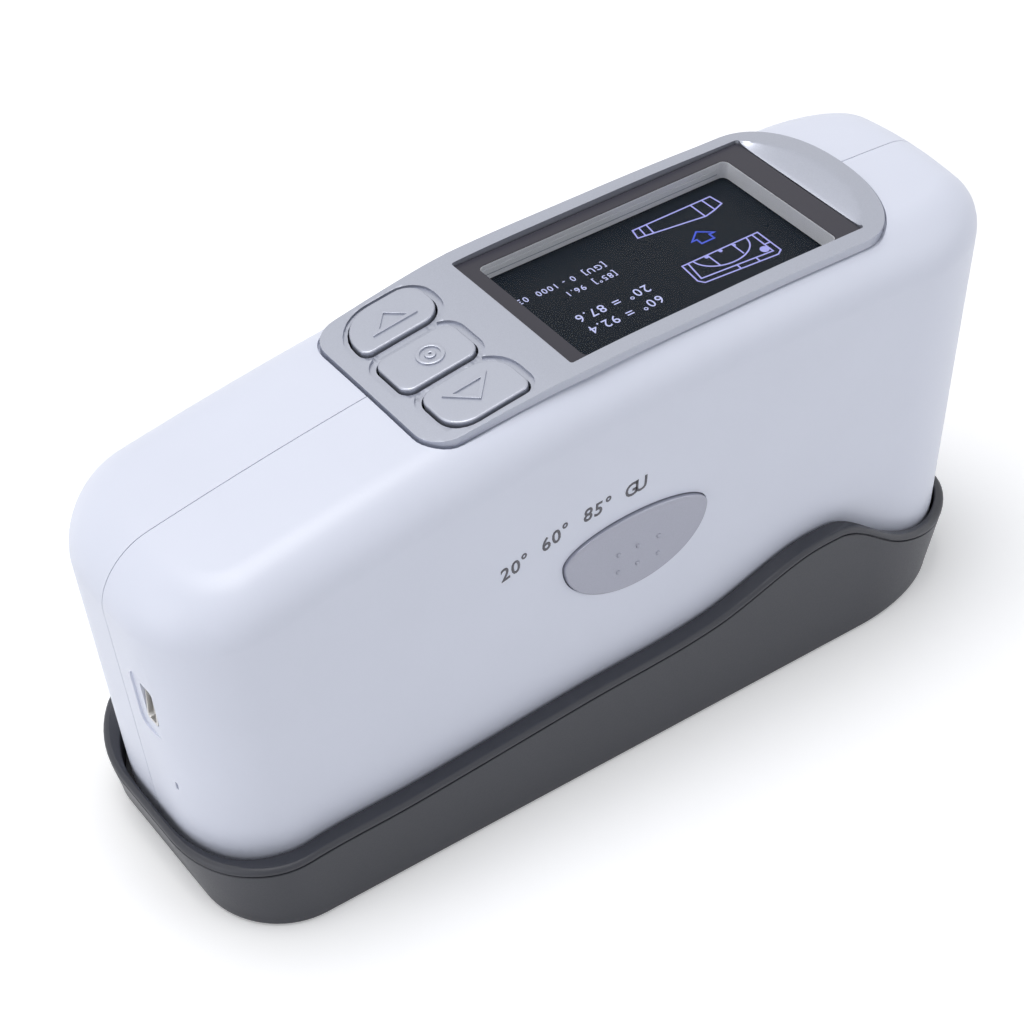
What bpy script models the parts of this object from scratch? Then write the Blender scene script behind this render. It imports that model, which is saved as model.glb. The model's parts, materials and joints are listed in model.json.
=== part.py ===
# Tri-angle gloss meter standing in its calibration base.
# Metres, +Z up, floor at Z = 0, origin at the middle of the base.
# +X is the display end, -X the socket end, -Y the side with the test button.

import math

import bmesh
import bpy
from mathutils import Matrix, Vector

PART_COLLECTION = "gloss_meter"
CUTTER_COLLECTION = "cutters"

# General fits
GAP = 0.0003
SLIDE_GAP = 0.00035
WELD = 1e-6
OVERRUN = 0.002

# Housing: overall form, built round the optics
OPTICS_RADIUS = 0.052
LEFT_ROOM = 0.028
RIGHT_ROOM = 0.029
TOP_ROOM = 0.0216
BODY_WIDTH = 0.046
BODY_BOTTOM = 0.007
BODY_LEFT = -OPTICS_RADIUS - LEFT_ROOM
BODY_RIGHT = OPTICS_RADIUS + RIGHT_ROOM
TOP_HEIGHT = BODY_BOTTOM + OPTICS_RADIUS + TOP_ROOM
TOP_CUT = 0.030
TOP_PEAK_X = 0.0487
TOP_RADIUS = 0.535
CROWN_RADIUS = 0.600
SHOULDER = 0.0085
LEFT_CORNER = (0.0145, 0.0172)
RIGHT_CORNER = (0.0190, 0.0120)
LEFT_LEAN = 0.103
RIGHT_LEAN = 0.032
END_BOW = 0.0008
SHELL_WALL = 0.0022
PARTING_GAP = 0.0003

# Calibration base
BASE_SIDE_WALL = 0.00325
BASE_END_WALL = 0.0012
BASE_LEFT_CORNER = (0.0145, 0.0190)
BASE_RIGHT_CORNER = (0.026, 0.0155)
BASE_FOOT_CORNER = (0.0135, 0.0140)
BASE_LEFT_DRAFT = 0.0030
BASE_RIGHT_DRAFT = 0.0028
BASE_FOOT_LIFT = 0.0002
BASE_FOOT_CHAMFER = 0.0004
BASE_BAND = 0.0046
BASE_BAND_STEP = 0.0004
BASE_LIP = 0.0007
BASE_LIP_INNER = 0.0003
BASE_SIDE_CLEARANCE = 0.00045
BASE_LEFT_CLEARANCE = 0.0010
BASE_RIGHT_CLEARANCE = 0.0006
BASE_FLOOR = 0.0020
BASE_SKIRT = 0.0030
RIM_WAVE = (
    (-0.079, 0.0122),
    (-0.070, 0.0145),
    (-0.060, 0.0162),
    (-0.044, 0.0158),
    (-0.010, 0.0184),
    (0.017, 0.0203),
    (0.036, 0.0260),
    (0.044, 0.0266),
    (0.060, 0.0173),
    (0.071, 0.0130),
    (0.080, 0.0127),
)

# Cover under the base, tile and pad
COVER_THICKNESS = 0.0016
COVER_INSET = 0.0014
TILE_LENGTH = 0.062
TILE_WIDTH = 0.028
TILE_THICKNESS = 0.0025
TILE_LIP = 0.0008
TILE_MARGIN = 0.0025
BASE_POST_RADIUS = 0.0030
BASE_POST_ROOM = 0.0060
BASE_POST_X = OPTICS_RADIUS + BASE_POST_ROOM
BASE_POST_Y = 0.0165

# Screws
SCREW_RADIUS = 0.0010
SCREW_HEAD_RADIUS = 0.0019
SCREW_HEAD_HEIGHT = 0.0008
SCREW_PLAY = 0.0003
SCREW_SLOT_WIDTH = 0.0005
SCREW_SLOT_DEPTH = 0.0003
SCREW_SLOT_SHARE = 0.6
SMALL_SCREW_RADIUS = 0.0006
SMALL_SCREW_HEAD_RADIUS = 0.0012
SMALL_SCREW_HEAD_HEIGHT = 0.0006
SMALL_SCREW_REACH = 0.0045

# Silver panel on the top
PANEL_LEFT = -0.0323
PANEL_END_ROOM = 0.0197
PANEL_RIGHT = BODY_RIGHT - PANEL_END_ROOM
PANEL_LEFT_HALF = 0.0172
PANEL_HALF = 0.0187
PANEL_BEND_X = -0.005
PANEL_END_LENGTH = 0.0108
PANEL_END_POWER = 2.3
PANEL_CORNER = 0.0052
PANEL_THICKNESS = 0.0016
PANEL_PROUD = 0.0004
PANEL_HUMP = 0.0006
PANEL_HUMP_X = -0.008
PANEL_HUMP_REACH = 0.032
PANEL_CHAMFER = 0.0005
PANEL_LEDGE = 0.0010
PANEL_FIT = 0.0003

# Display group, laid out on the tilted plane of the lens
LENS_LEFT = -0.0060
LENS_END_ROOM = 0.0089
LENS_RIGHT = PANEL_RIGHT - LENS_END_ROOM
LENS_HALF = 0.0158
LENS_THICKNESS = 0.0010
LENS_DROP = 0.00094
LENS_TILT = math.radians(1.0)
LENS_CORNER = 0.0005
SCOOP_LENGTH = 0.0040
SCOOP_RIGHT = LENS_RIGHT + SCOOP_LENGTH
SCOOP_HALF = 0.0154
WINDOW_LEFT = -0.0029
WINDOW_END_ROOM = 0.0047
WINDOW_RIGHT = LENS_RIGHT - WINDOW_END_ROOM
WINDOW_NEAR = -0.0152
WINDOW_FAR = 0.0133
WINDOW_CORNER = 0.0012
COLLAR_WALL = 0.0009
COLLAR_FLOOR = 0.0016
LCD_THICKNESS = 0.0024
LCD_MARGIN = 0.0014
LCD_HALF = 0.0158
CARRIER_WALL = 0.0008
BOARD_THICKNESS = 0.0012
DISPLAY_POST_RADIUS = 0.0013
DISPLAY_POST_Y = 0.0110
COLLAR_RISE = 0.0006
DISPLAY_BOARD_HALF = 0.0165
DISPLAY_BOARD_CORNER = 0.0015

# Three keys, laid out on the tilted plane of the key area
KEY_PLANE_X = -0.0210
KEY_PROUD = 0.0003
KEY_EDGE = 0.0004
KEY_FLANGE = 0.0008
KEY_FLANGE_REACH = 0.0006
KEY_FLANGE_INSET = 0.0005
KEY_FLANGE_ROUND = 0.0025
KEY_STEM_RADIUS = 0.0020
KEY_STEM = 0.0008
KEY_TRAVEL = 0.0006
KEY_FREE_PLAY = 0.0002
KEY_PLANE_HALF = 0.0079
KEY_ENDS = {"key_up": (-0.0069, 0.0076), "key_enter": (-0.0077, 0.0065), "key_down": (-0.0075, 0.0076)}
KEY_MIDDLE_HALF = 0.0045
KEY_NEAR_SPACE = 0.0017
KEY_FAR_SPACE = 0.0024
KEY_OUTER_EDGE = 0.0162
KEY_ROUNDS = {
    "key_up": (0.0042, 0.0018, 0.0048, 0.0026),
    "key_enter": (0.0020, 0.0024, 0.0024, 0.0020),
    "key_down": (0.0016, 0.0028, 0.0034, 0.0048),
}
KEY_CONTOUR = 0.0014
KEY_CONTOUR_OUTER = 0.0007
KEY_CONTOUR_DEPTH = 0.0002
SWITCH_SIZE = 0.0050
SWITCH_BODY = 0.0020
SWITCH_PLUNGER = 0.0010
SWITCH_PLUNGER_RADIUS = 0.0013
KEY_BOARD_LEFT = -0.0088
KEY_BOARD_RIGHT = 0.0112
KEY_BOARD_HALF = 0.0148
KEY_POST_X = 0.0098
KEY_POST_Y = 0.0110
KEY_POST_RADIUS = 0.0013

# Test button on the near side
TEST_X = 0.0019
TEST_Z = 0.0454
TEST_HALF = 0.0143
TEST_RISE = 0.0048
TEST_DROP = 0.0102
TEST_PROUD = 0.0007
TEST_EDGE = 0.0005
TEST_FLANGE = 0.0008
TEST_FLANGE_REACH = 0.0009
TEST_STEM_RADIUS = 0.0020
TEST_STEM = 0.0010
TEST_TRAVEL = 0.0008
TEST_FREE_PLAY = 0.0002
TEST_BOARD_HALF = 0.0145
TEST_BOARD_TOP = 0.0500
TEST_BOARD_BOTTOM = 0.0262
TEST_BOARD_CORNER = 0.0010
TEST_POST_RADIUS = 0.0024
TEST_POST_X = 0.0110
TEST_POST_Z = 0.0294

# Main board, socket and reset switch
MAIN_END_ROOM = 0.0078
MAIN_LENGTH = 0.0482
MAIN_BOTTOM = 0.0232
MAIN_TOP_ROOM = 0.0306
MAIN_POST_RADIUS = 0.0022
MAIN_POST_STARTS = (0.0182, 0.0422)
MAIN_POST_Z = 0.0300
SOCKET_SIDE_ROOM = 0.0154
SOCKET_TOP_ROOM = 0.0391
SOCKET_Y = SOCKET_SIDE_ROOM - BODY_WIDTH / 2
SOCKET_Z = TOP_HEIGHT - SOCKET_TOP_ROOM
SOCKET_WIDTH = 0.0070
SOCKET_THICKNESS = 0.0028
SOCKET_LENGTH = 0.0060
SOCKET_WALL = 0.0004
SOCKET_TONGUE = 0.0007
SOCKET_SET_BACK = 0.0016
POCKET_EDGE_ROOM = 0.0038
POCKET_DROP = 0.0005
POCKET_DEPTH = 0.0007
POCKET_WIDTH = 0.0160
POCKET_HEIGHT = 0.0124
POCKET_ROUND = 0.0020
RESET_SHIFT = 0.0020
RESET_Z = 0.0244
RESET_SLOT = (0.0006, 0.0016)
RESET_SIZE = (0.0030, 0.0018, 0.0030)
CHIP_SIZE = 0.0090
CHIP_HEIGHT = 0.0009

# Optics: fan-shaped block with tubes at the three angles
OPTICS_SIDE_ROOM = 0.0149
OPTICS_CAVITY = 0.0145
OPTICS_ANGLES = (20, 60, 85)
OPTICS_BORES = (0.0045, 0.0045, 0.0014)
OPTICS_LOW_ROOM = 0.00013
OPTICS_TUBE_HOLLOW = 0.8
OPTICS_TUBE_DEPTHS = (0.0140, 0.0140, 0.0060)
OPTICS_TUBE_WELL = 0.0040
OPTICS_TUBE_TAIL = 0.0025
OPTICS_FLANGE = 0.0010
OPTICS_FLANGE_REACH = 0.0005
OPTICS_SIDE_WALL = 0.0015
OPTICS_SCREW_ROOM = 0.0160
OPTICS_SCREW_X = OPTICS_RADIUS - OPTICS_SCREW_ROOM
OPTICS_SCREW_Y = 0.006
OPTICS_SCREW_REACH = 0.0090
APERTURE_LENGTH = 0.052
APERTURE_WIDTH = 0.016
APERTURE_ROUND = 0.0040
PLATE_POST_ROOM = 0.0020
PLATE_POST_X = OPTICS_RADIUS + PLATE_POST_ROOM
PLATE_POST_Y = 0.0145
PLATE_POST_RADIUS = 0.0030
PLATE_POST_HEIGHT = 0.0070
PLATE_RIB = 0.0020

# Battery pack
BATTERY_LENGTH = 0.060
BATTERY_HEIGHT = 0.034
BATTERY_THICKNESS = 0.0075
BATTERY_BOTTOM = 0.0160
BATTERY_ROUND = 0.0015

# Bosses that join the two housing halves
HOUSING_POST_ROOM = 0.0105
HOUSING_POST_LOW = 0.0125
HOUSING_POST_DROP = 0.0245
HOUSING_POST_RADIUS = 0.0032
HOUSING_COUNTERBORE = 0.0024
HOUSING_SEAT = 0.0040
HOUSING_SCREW_REACH = 0.0080

# Mesh fineness
CORNER_STEPS = 7
SIDE_STEPS = 14
END_STEPS = 3
SHOULDER_STEPS = 7
CROWN_STEPS = 4
ROUND_STEPS = 16
SMALL_ROUND_STEPS = 12
OUTLINE_STEPS = 4
SCREW_STEPS = 8


# Scene set-up

def clear_scene():
    for item in list(bpy.data.objects):
        bpy.data.objects.remove(item, do_unlink=True)


def make_collection(name):
    collection = bpy.data.collections.new(name)
    bpy.context.scene.collection.children.link(collection)
    return collection


def make_material(name, colour, metallic=0.0, roughness=0.5, transmission=0.0):
    material = bpy.data.materials.new(name)
    material.use_nodes = True
    shader = material.node_tree.nodes["Principled BSDF"]
    shader.inputs["Base Color"].default_value = (*colour, 1.0)
    shader.inputs["Metallic"].default_value = metallic
    shader.inputs["Roughness"].default_value = roughness
    shader.inputs["Transmission Weight"].default_value = transmission
    material.diffuse_color = (*colour, 1.0)
    return material


def add_mesh(name, points, faces, collection, material=None, matrix=None, closed=True):
    mesh = bpy.data.meshes.new(name)
    mesh.from_pydata([tuple(p) for p in points], [], faces)
    work = bmesh.new()
    work.from_mesh(mesh)
    bmesh.ops.remove_doubles(work, verts=work.verts, dist=WELD)
    if closed:
        bmesh.ops.recalc_face_normals(work, faces=work.faces)
    work.to_mesh(mesh)
    work.free()
    item = bpy.data.objects.new(name, mesh)
    collection.objects.link(item)
    if matrix is not None:
        item.matrix_world = matrix
    if material is not None:
        mesh.materials.append(material)
    return item


def add_part(name, points, faces, material, matrix=None):
    return add_mesh(name, points, faces, PARTS, material, matrix)


def add_cutter(name, points, faces, matrix=None):
    item = add_mesh(name, points, faces, CUTTERS, None, matrix)
    item.hide_render = True
    item.display_type = "WIRE"
    return item


def boolean(target, cutter, operation="DIFFERENCE"):
    change = target.modifiers.new(cutter.name, "BOOLEAN")
    change.operation = operation
    change.solver = "EXACT"
    change.object = cutter


def bevel(target, width, segments=2, angle=35):
    change = target.modifiers.new("edge_round", "BEVEL")
    change.width = width
    change.segments = segments
    change.limit_method = "ANGLE"
    change.angle_limit = math.radians(angle)
    change.use_clamp_overlap = True


def smooth(item):
    for face in item.data.polygons:
        face.use_smooth = True


# Outlines and plain solids

def round_outline(corners):
    """Points of a closed outline from (x, y, radius) corners, counter-clockwise."""
    points = []
    count = len(corners)
    for index, (x, y, radius) in enumerate(corners):
        here = Vector((x, y))
        back = (Vector(corners[index - 1][:2]) - here).normalized()
        ahead = (Vector(corners[(index + 1) % count][:2]) - here).normalized()
        opening = back.angle(ahead)
        reach = radius / math.tan(opening / 2)
        middle = here + (back + ahead).normalized() * radius / math.sin(opening / 2)
        first = here + back * reach - middle
        last = here + ahead * reach - middle
        start = math.atan2(first.y, first.x)
        turn = math.atan2(last.y, last.x) - start
        turn = (turn + math.pi) % (2 * math.pi) - math.pi
        steps = max(1, round(abs(turn) / (math.pi / 2) * OUTLINE_STEPS))
        for step in range(steps + 1):
            angle = start + turn * step / steps
            points.append((middle.x + radius * math.cos(angle), middle.y + radius * math.sin(angle)))
    return points


def rectangle(left, right, near, far, radius):
    return round_outline(((left, near, radius), (right, near, radius),
                          (right, far, radius), (left, far, radius)))


def circle(x, y, radius, steps=SMALL_ROUND_STEPS):
    turns = [2 * math.pi * step / steps for step in range(steps)]
    return [(x + radius * math.cos(turn), y + radius * math.sin(turn)) for turn in turns]


def prism(outline, low, high):
    """Points and faces of an outline drawn between two heights, or two functions of x and y."""
    count = len(outline)
    points = []
    for height in (low, high):
        for x, y in outline:
            points.append((x, y, height(x, y) if callable(height) else height))
    faces = [list(range(count))[::-1], list(range(count, 2 * count))]
    for index in range(count):
        after = (index + 1) % count
        faces.append([index, after, count + after, count + index])
    return points, faces


def loft(rings):
    """Points and faces through equal rings, closed by a face at each end."""
    count = len(rings[0])
    points = [point for ring in rings for point in ring]
    faces = [list(range(count))[::-1]]
    for level in range(len(rings) - 1):
        base = level * count
        for index in range(count):
            after = (index + 1) % count
            faces.append([base + index, base + after, base + count + after, base + count + index])
    faces.append([(len(rings) - 1) * count + index for index in range(count)])
    return points, faces


def merge(*solids):
    """One set of points and faces from solids that don't touch."""
    points = []
    faces = []
    for more_points, more_faces in solids:
        start = len(points)
        points.extend(more_points)
        faces.extend([[start + index for index in face] for face in more_faces])
    return points, faces


def posts(places, radius, low, high, steps=SMALL_ROUND_STEPS):
    return merge(*[prism(circle(x, y, radius, steps), low, high) for x, y in places])


SCREW = (SCREW_RADIUS, SCREW_HEAD_RADIUS, SCREW_HEAD_HEIGHT)
SMALL_SCREW = (SMALL_SCREW_RADIUS, SMALL_SCREW_HEAD_RADIUS, SMALL_SCREW_HEAD_HEIGHT)


def add_screw(name, matrix, reach, kind=SCREW):
    """A screw whose head starts at the matrix origin and whose shank runs along its +Z."""
    radius, head_radius, head_height = kind
    levels = ((head_radius, 0), (head_radius, head_height), (radius, head_height), (radius, reach))
    rings = [[(x, y, z) for x, y in circle(0, 0, size, SCREW_STEPS)] for size, z in levels]
    item = add_part(name, *loft(rings), STEEL, matrix)
    half_width = SCREW_SLOT_WIDTH / 2
    half_length = head_radius * SCREW_SLOT_SHARE
    bar = [(-half_length, -half_width), (half_length, -half_width),
           (half_length, half_width), (-half_length, half_width)]
    boolean(item, add_cutter(name + "_slot", *prism(bar, -OVERRUN, SCREW_SLOT_DEPTH), matrix))


# Frames in which pieces are laid out

def side_frame(y):
    """Local x and y become world x and z, and local z runs out towards world -Y."""
    return Matrix.Translation((0, y, 0)) @ Matrix.Rotation(math.pi / 2, 4, "X")


def end_frame(x, y, z, tilt=0.0):
    """Local x runs to world -Y, local y up, and local z out towards world -X."""
    turn = Matrix(((0, 0, -1, 0), (-1, 0, 0, 0), (0, 1, 0, 0), (0, 0, 0, 1)))
    return Matrix.Translation((x, y, z)) @ Matrix.Rotation(-tilt, 4, "Y") @ turn


def aim(point, direction):
    """A frame at the point whose local z runs along the direction."""
    turn = Vector(direction).to_track_quat("Z", "Y").to_matrix().to_4x4()
    return Matrix.Translation(point) @ turn


# Surfaces of the housing and the panel

def arch(x):
    return TOP_HEIGHT - (x - TOP_PEAK_X) ** 2 / (2 * TOP_RADIUS)


def hump(x):
    away = (x - PANEL_HUMP_X) / PANEL_HUMP_REACH
    if abs(away) >= 1:
        return 0.0
    return PANEL_HUMP * math.cos(away * math.pi / 2) ** 2


def panel_top(x):
    return arch(x) + PANEL_PROUD + hump(x)


def lens_height(x):
    return panel_top(LENS_LEFT) - LENS_DROP + (x - LENS_LEFT) * math.tan(LENS_TILT)


LENS_FRAME = Matrix.Translation((0, 0, lens_height(0))) @ Matrix.Rotation(-LENS_TILT, 4, "Y")

KEY_TILT = math.atan((panel_top(KEY_PLANE_X + KEY_PLANE_HALF) - panel_top(KEY_PLANE_X - KEY_PLANE_HALF))
                     / (2 * KEY_PLANE_HALF))
KEY_FRAME = Matrix.Translation((KEY_PLANE_X, 0, panel_top(KEY_PLANE_X))) @ Matrix.Rotation(-KEY_TILT, 4, "Y")


def half_ring(left, right, half_width, left_corner, right_corner, bow):
    """Plan points from the right end over the +Y side to the left end."""
    right_x, right_y = right_corner
    left_x, left_y = left_corner
    points = []
    for step in range(END_STEPS):
        points.append((right, (half_width - right_y) * step / END_STEPS))
    for step in range(CORNER_STEPS):
        turn = math.pi / 2 * step / CORNER_STEPS
        points.append((right - right_x + right_x * math.cos(turn),
                       half_width - right_y + right_y * math.sin(turn)))
    for step in range(SIDE_STEPS):
        share = step / SIDE_STEPS
        points.append(((right - right_x) * (1 - share) + (left + left_x) * share, half_width))
    for step in range(CORNER_STEPS):
        turn = math.pi / 2 * (1 + step / CORNER_STEPS)
        points.append((left + left_x + left_x * math.cos(turn), half_width - left_y + left_y * math.sin(turn)))
    for step in range(END_STEPS + 1):
        points.append((left, (half_width - left_y) * (1 - step / END_STEPS)))
    bowed = []
    for x, y in points:
        end = (x - (left + right) / 2) / ((right - left) / 2)
        bowed.append((x - bow * end * abs(end) * (y / half_width) ** 2, y))
    return bowed


def ring(left, right, half_width, left_corner, right_corner, bow=0.0):
    upper = half_ring(left, right, half_width, left_corner, right_corner, bow)
    lower = [(x, -y) for x, y in upper[-2:0:-1]]
    return upper + lower


def body_ring(inset):
    """Plan ring of the housing, moved inwards by the inset."""
    corners = [(reach_x - inset, reach_y - inset) for reach_x, reach_y in (LEFT_CORNER, RIGHT_CORNER)]
    return ring(BODY_LEFT + inset, BODY_RIGHT - inset, BODY_WIDTH / 2 - inset, *corners, END_BOW)


ABOVE = TOP_HEIGHT + OVERRUN


def shoulder_start(x):
    return arch(x) - SHOULDER


def lean(x, z):
    """Shift of a wall point that follows the draft of the two ends."""
    drop = shoulder_start(x) - z
    if drop <= 0:
        return x
    if x < 0:
        return x + LEFT_LEAN * drop * (x / BODY_LEFT)
    return x - RIGHT_LEAN * drop * (x / BODY_RIGHT)


def body_level(inset, z):
    return [(lean(x, z), y, z) for x, y in body_ring(inset)]


def rim_height(x):
    """Height of the wavy rim of the base, smooth between its named points."""
    if x <= RIM_WAVE[0][0]:
        return RIM_WAVE[0][1]
    for (x0, z0), (x1, z1) in zip(RIM_WAVE, RIM_WAVE[1:]):
        if x <= x1:
            share = (x - x0) / (x1 - x0)
            slope_0 = rim_slope(x0)
            slope_1 = rim_slope(x1)
            span = x1 - x0
            square = share * share
            cube = square * share
            return ((2 * cube - 3 * square + 1) * z0 + (cube - 2 * square + share) * span * slope_0
                    + (3 * square - 2 * cube) * z1 + (cube - square) * span * slope_1)
    return RIM_WAVE[-1][1]


BASE_HALF = BODY_WIDTH / 2 + BASE_SIDE_CLEARANCE + BASE_SIDE_WALL
BASE_LEFT = lean(BODY_LEFT, RIM_WAVE[0][1]) - BASE_LEFT_CLEARANCE - BASE_END_WALL
BASE_RIGHT = lean(BODY_RIGHT, RIM_WAVE[-1][1]) + BASE_RIGHT_CLEARANCE + BASE_END_WALL


def rim_slope(x):
    places = [point[0] for point in RIM_WAVE]
    index = places.index(x)
    if index in (0, len(places) - 1):
        return 0.0
    before = RIM_WAVE[index - 1]
    after = RIM_WAVE[index + 1]
    here = RIM_WAVE[index]
    rise = (here[1] - before[1]) * (after[1] - here[1])
    if rise <= 0:
        return 0.0
    return (after[1] - before[1]) / (after[0] - before[0])


def sheet(low, high, left, right, half, steps, rows):
    """A slab between two height functions of x, over a rectangle."""
    points = []
    for surface in (low, high):
        for column in range(steps + 1):
            x = left + (right - left) * column / steps
            for row in range(rows + 1):
                points.append((x, -half + 2 * half * row / rows, surface(x)))
    layer = (steps + 1) * (rows + 1)
    faces = []
    for column in range(steps):
        for row in range(rows):
            corner = column * (rows + 1) + row
            quad = [corner, corner + 1, corner + rows + 2, corner + rows + 1]
            faces.append(quad)
            faces.append([layer + index for index in quad[::-1]])
    rim = [column * (rows + 1) for column in range(steps + 1)]
    rim += [steps * (rows + 1) + row for row in range(1, rows + 1)]
    rim += [column * (rows + 1) + rows for column in range(steps - 1, -1, -1)]
    rim += [row for row in range(rows - 1, 0, -1)]
    for index, corner in enumerate(rim):
        after = rim[(index + 1) % len(rim)]
        faces.append([corner, after, layer + after, layer + corner])
    return points, faces


def panel_outline(grow=0.0):
    """Plan outline of the silver panel, moved outwards by the growth."""
    left = PANEL_LEFT - grow
    side = PANEL_HALF + grow
    end_start = PANEL_RIGHT - PANEL_END_LENGTH
    end = PANEL_END_LENGTH + grow
    corner = PANEL_CORNER + grow
    near_end = []
    for step in range(1, ROUND_STEPS):
        turn = math.pi / 2 * step / ROUND_STEPS
        across = math.sin(turn) ** (2 / PANEL_END_POWER)
        along = math.cos(turn) ** (2 / PANEL_END_POWER)
        near_end.append((end_start + end * across, -side * along))
    near_side = [(PANEL_BEND_X, -side), (end_start, -side)]
    near = near_side + near_end + [(PANEL_RIGHT + grow, 0.0)]
    far = [(x, -y) for x, y in near[-2::-1]]
    left_half = PANEL_LEFT_HALF + grow
    corner_points = round_outline(((left, -left_half, corner), (PANEL_BEND_X, -side, WELD),
                                   (PANEL_BEND_X, side, WELD), (left, left_half, corner)))
    arcs = [point for point in corner_points if point[0] < PANEL_LEFT + corner * 1.5]
    near_corner = [point for point in arcs if point[1] < 0]
    far_corner = [point for point in arcs if point[1] > 0]
    return near_corner + near + far + far_corner


# Housing

OPTICS_HALF = BODY_WIDTH / 2 - OPTICS_SIDE_ROOM
PLATE_THICKNESS = (OPTICS_RADIUS * math.cos(math.radians(OPTICS_ANGLES[-1])) - OPTICS_BORES[-1]
                   - OPTICS_FLANGE_REACH - OPTICS_LOW_ROOM)
HOUSING_POSTS = [(side * (OPTICS_RADIUS + HOUSING_POST_ROOM), z) for side in (-1, 1)
                 for z in (BODY_BOTTOM + HOUSING_POST_LOW, TOP_HEIGHT - HOUSING_POST_DROP)]


def top_surface(x, y, inset):
    drop = 0.0
    if inset < SHOULDER:
        drop = SHOULDER - math.sqrt(SHOULDER ** 2 - (SHOULDER - inset) ** 2)
    return arch(x) - y ** 2 / (2 * CROWN_RADIUS) - drop


def housing_skin():
    """Rings from the bottom edge, up the drafted wall, over the shoulder to the crest."""
    levels = []
    for share in (0.0, 0.5):
        level = []
        for x, y in body_ring(0.0):
            z = BODY_BOTTOM + (top_surface(x, y, 0.0) - BODY_BOTTOM) * share
            level.append((lean(x, z), y, z))
        levels.append(level)
    for step in range(SHOULDER_STEPS + 1):
        inset = SHOULDER * (1 - math.cos(math.pi / 2 * step / SHOULDER_STEPS))
        levels.append([(x, y, top_surface(x, y, inset)) for x, y in body_ring(inset)])
    middle = (BODY_LEFT + BODY_RIGHT) / 2
    pull = (BODY_WIDTH - 2 * SHOULDER) / (BODY_RIGHT - BODY_LEFT)
    for step in range(1, CROWN_STEPS + 1):
        share = step / CROWN_STEPS
        level = []
        for x, y in body_ring(SHOULDER):
            x = middle + (x - middle) * (1 - share * pull)
            y = y * (1 - share)
            level.append((x, y, top_surface(x, y, SHOULDER)))
        levels.append(level)
    points, faces = loft(levels)
    return points, faces[1:-1]


def add_housing_half(name, side):
    """One half of the housing: side is -1 for the near half and 1 for the far half."""
    half = add_mesh(name, *housing_skin(), PARTS, WHITE, closed=False)
    smooth(half)
    wall = half.modifiers.new("wall", "SOLIDIFY")
    wall.thickness = SHELL_WALL
    wall.offset = -1
    wall.use_even_offset = True
    reach = BODY_WIDTH
    edges = (BODY_LEFT - OVERRUN, BODY_RIGHT + OVERRUN)
    near, far = (-reach, PARTING_GAP / 2) if side > 0 else (-PARTING_GAP / 2, reach)
    other = add_cutter(name + "_parting", *prism([(edges[0], near), (edges[1], near), (edges[1], far),
                                                  (edges[0], far)], 0, TOP_HEIGHT + OVERRUN))
    boolean(half, other)
    inner = PARTING_GAP / 2
    outer = BODY_WIDTH / 2 - SHELL_WALL * 0.6
    low, high = (inner, outer) if side < 0 else (-outer, -inner)
    bosses = posts(HOUSING_POSTS, HOUSING_POST_RADIUS, low, high)
    bosses = add_cutter(name + "_bosses", *bosses, side_frame(0))
    boolean(half, bosses, "UNION")
    pilot = SCREW_RADIUS + SCREW_PLAY
    if side < 0:
        holes = posts(HOUSING_POSTS, pilot, -OVERRUN, HOUSING_SCREW_REACH + GAP)
        holes = add_cutter(name + "_pilots", *holes, side_frame(0))
        boolean(half, holes)
    else:
        shape = merge(*[loft([[(px, pz, OVERRUN) for px, pz in circle(x, z, pilot)],
                              [(px, pz, -HOUSING_SEAT) for px, pz in circle(x, z, pilot)],
                              [(px, pz, -HOUSING_SEAT) for px, pz in circle(x, z, HOUSING_COUNTERBORE)],
                              [(px, pz, -BODY_WIDTH) for px, pz in circle(x, z, HOUSING_COUNTERBORE)]])
                        for x, z in HOUSING_POSTS])
        holes = add_cutter(name + "_counterbores", *shape, side_frame(0))
        boolean(half, holes)
    add_plate_posts(half, name, side)
    opening = add_cutter(name + "_opening", *prism(panel_outline(-PANEL_LEDGE), TOP_HEIGHT - TOP_CUT, ABOVE))
    boolean(half, opening)
    recess_sheet = sheet(lambda x: panel_top(x) - PANEL_THICKNESS - GAP, lambda x: ABOVE,
                         PANEL_LEFT - OVERRUN, PANEL_RIGHT + OVERRUN, BODY_WIDTH / 2, SIDE_STEPS, 1)
    recess = add_cutter(name + "_recess", *recess_sheet)
    outline = prism(panel_outline(PANEL_FIT), TOP_HEIGHT - TOP_CUT, ABOVE + OVERRUN)
    outline = add_cutter(name + "_recess_outline", *outline)
    boolean(recess, outline, "INTERSECT")
    boolean(half, recess)
    return half


def add_plate_posts(half, name, side):
    """Upright bosses that take the screws of the bottom plate, each with a rib to the wall."""
    places = [(x, side * PLATE_POST_Y) for x in (-PLATE_POST_X, PLATE_POST_X)]
    low = BODY_BOTTOM + PLATE_THICKNESS + GAP
    high = low + PLATE_POST_HEIGHT
    uprights = add_cutter(name + "_uprights", *posts(places, PLATE_POST_RADIUS, low, high))
    boolean(half, uprights, "UNION")
    wall = BODY_WIDTH / 2 - SHELL_WALL / 2
    ribs = []
    for x, y in places:
        near, far = sorted((y, side * wall))
        left = x - PLATE_RIB / 2
        right = x + PLATE_RIB / 2
        box = [(left, near), (right, near), (right, far), (left, far)]
        ribs.append(prism(box, low, high - PLATE_RIB))
    boolean(half, add_cutter(name + "_ribs", *merge(*ribs)), "UNION")
    pilots = posts(places, SCREW_RADIUS + SCREW_PLAY, low - OVERRUN, high - PLATE_RIB / 2)
    boolean(half, add_cutter(name + "_upright_pilots", *pilots))


def left_wall(z):
    return lean(BODY_LEFT, z)


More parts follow.
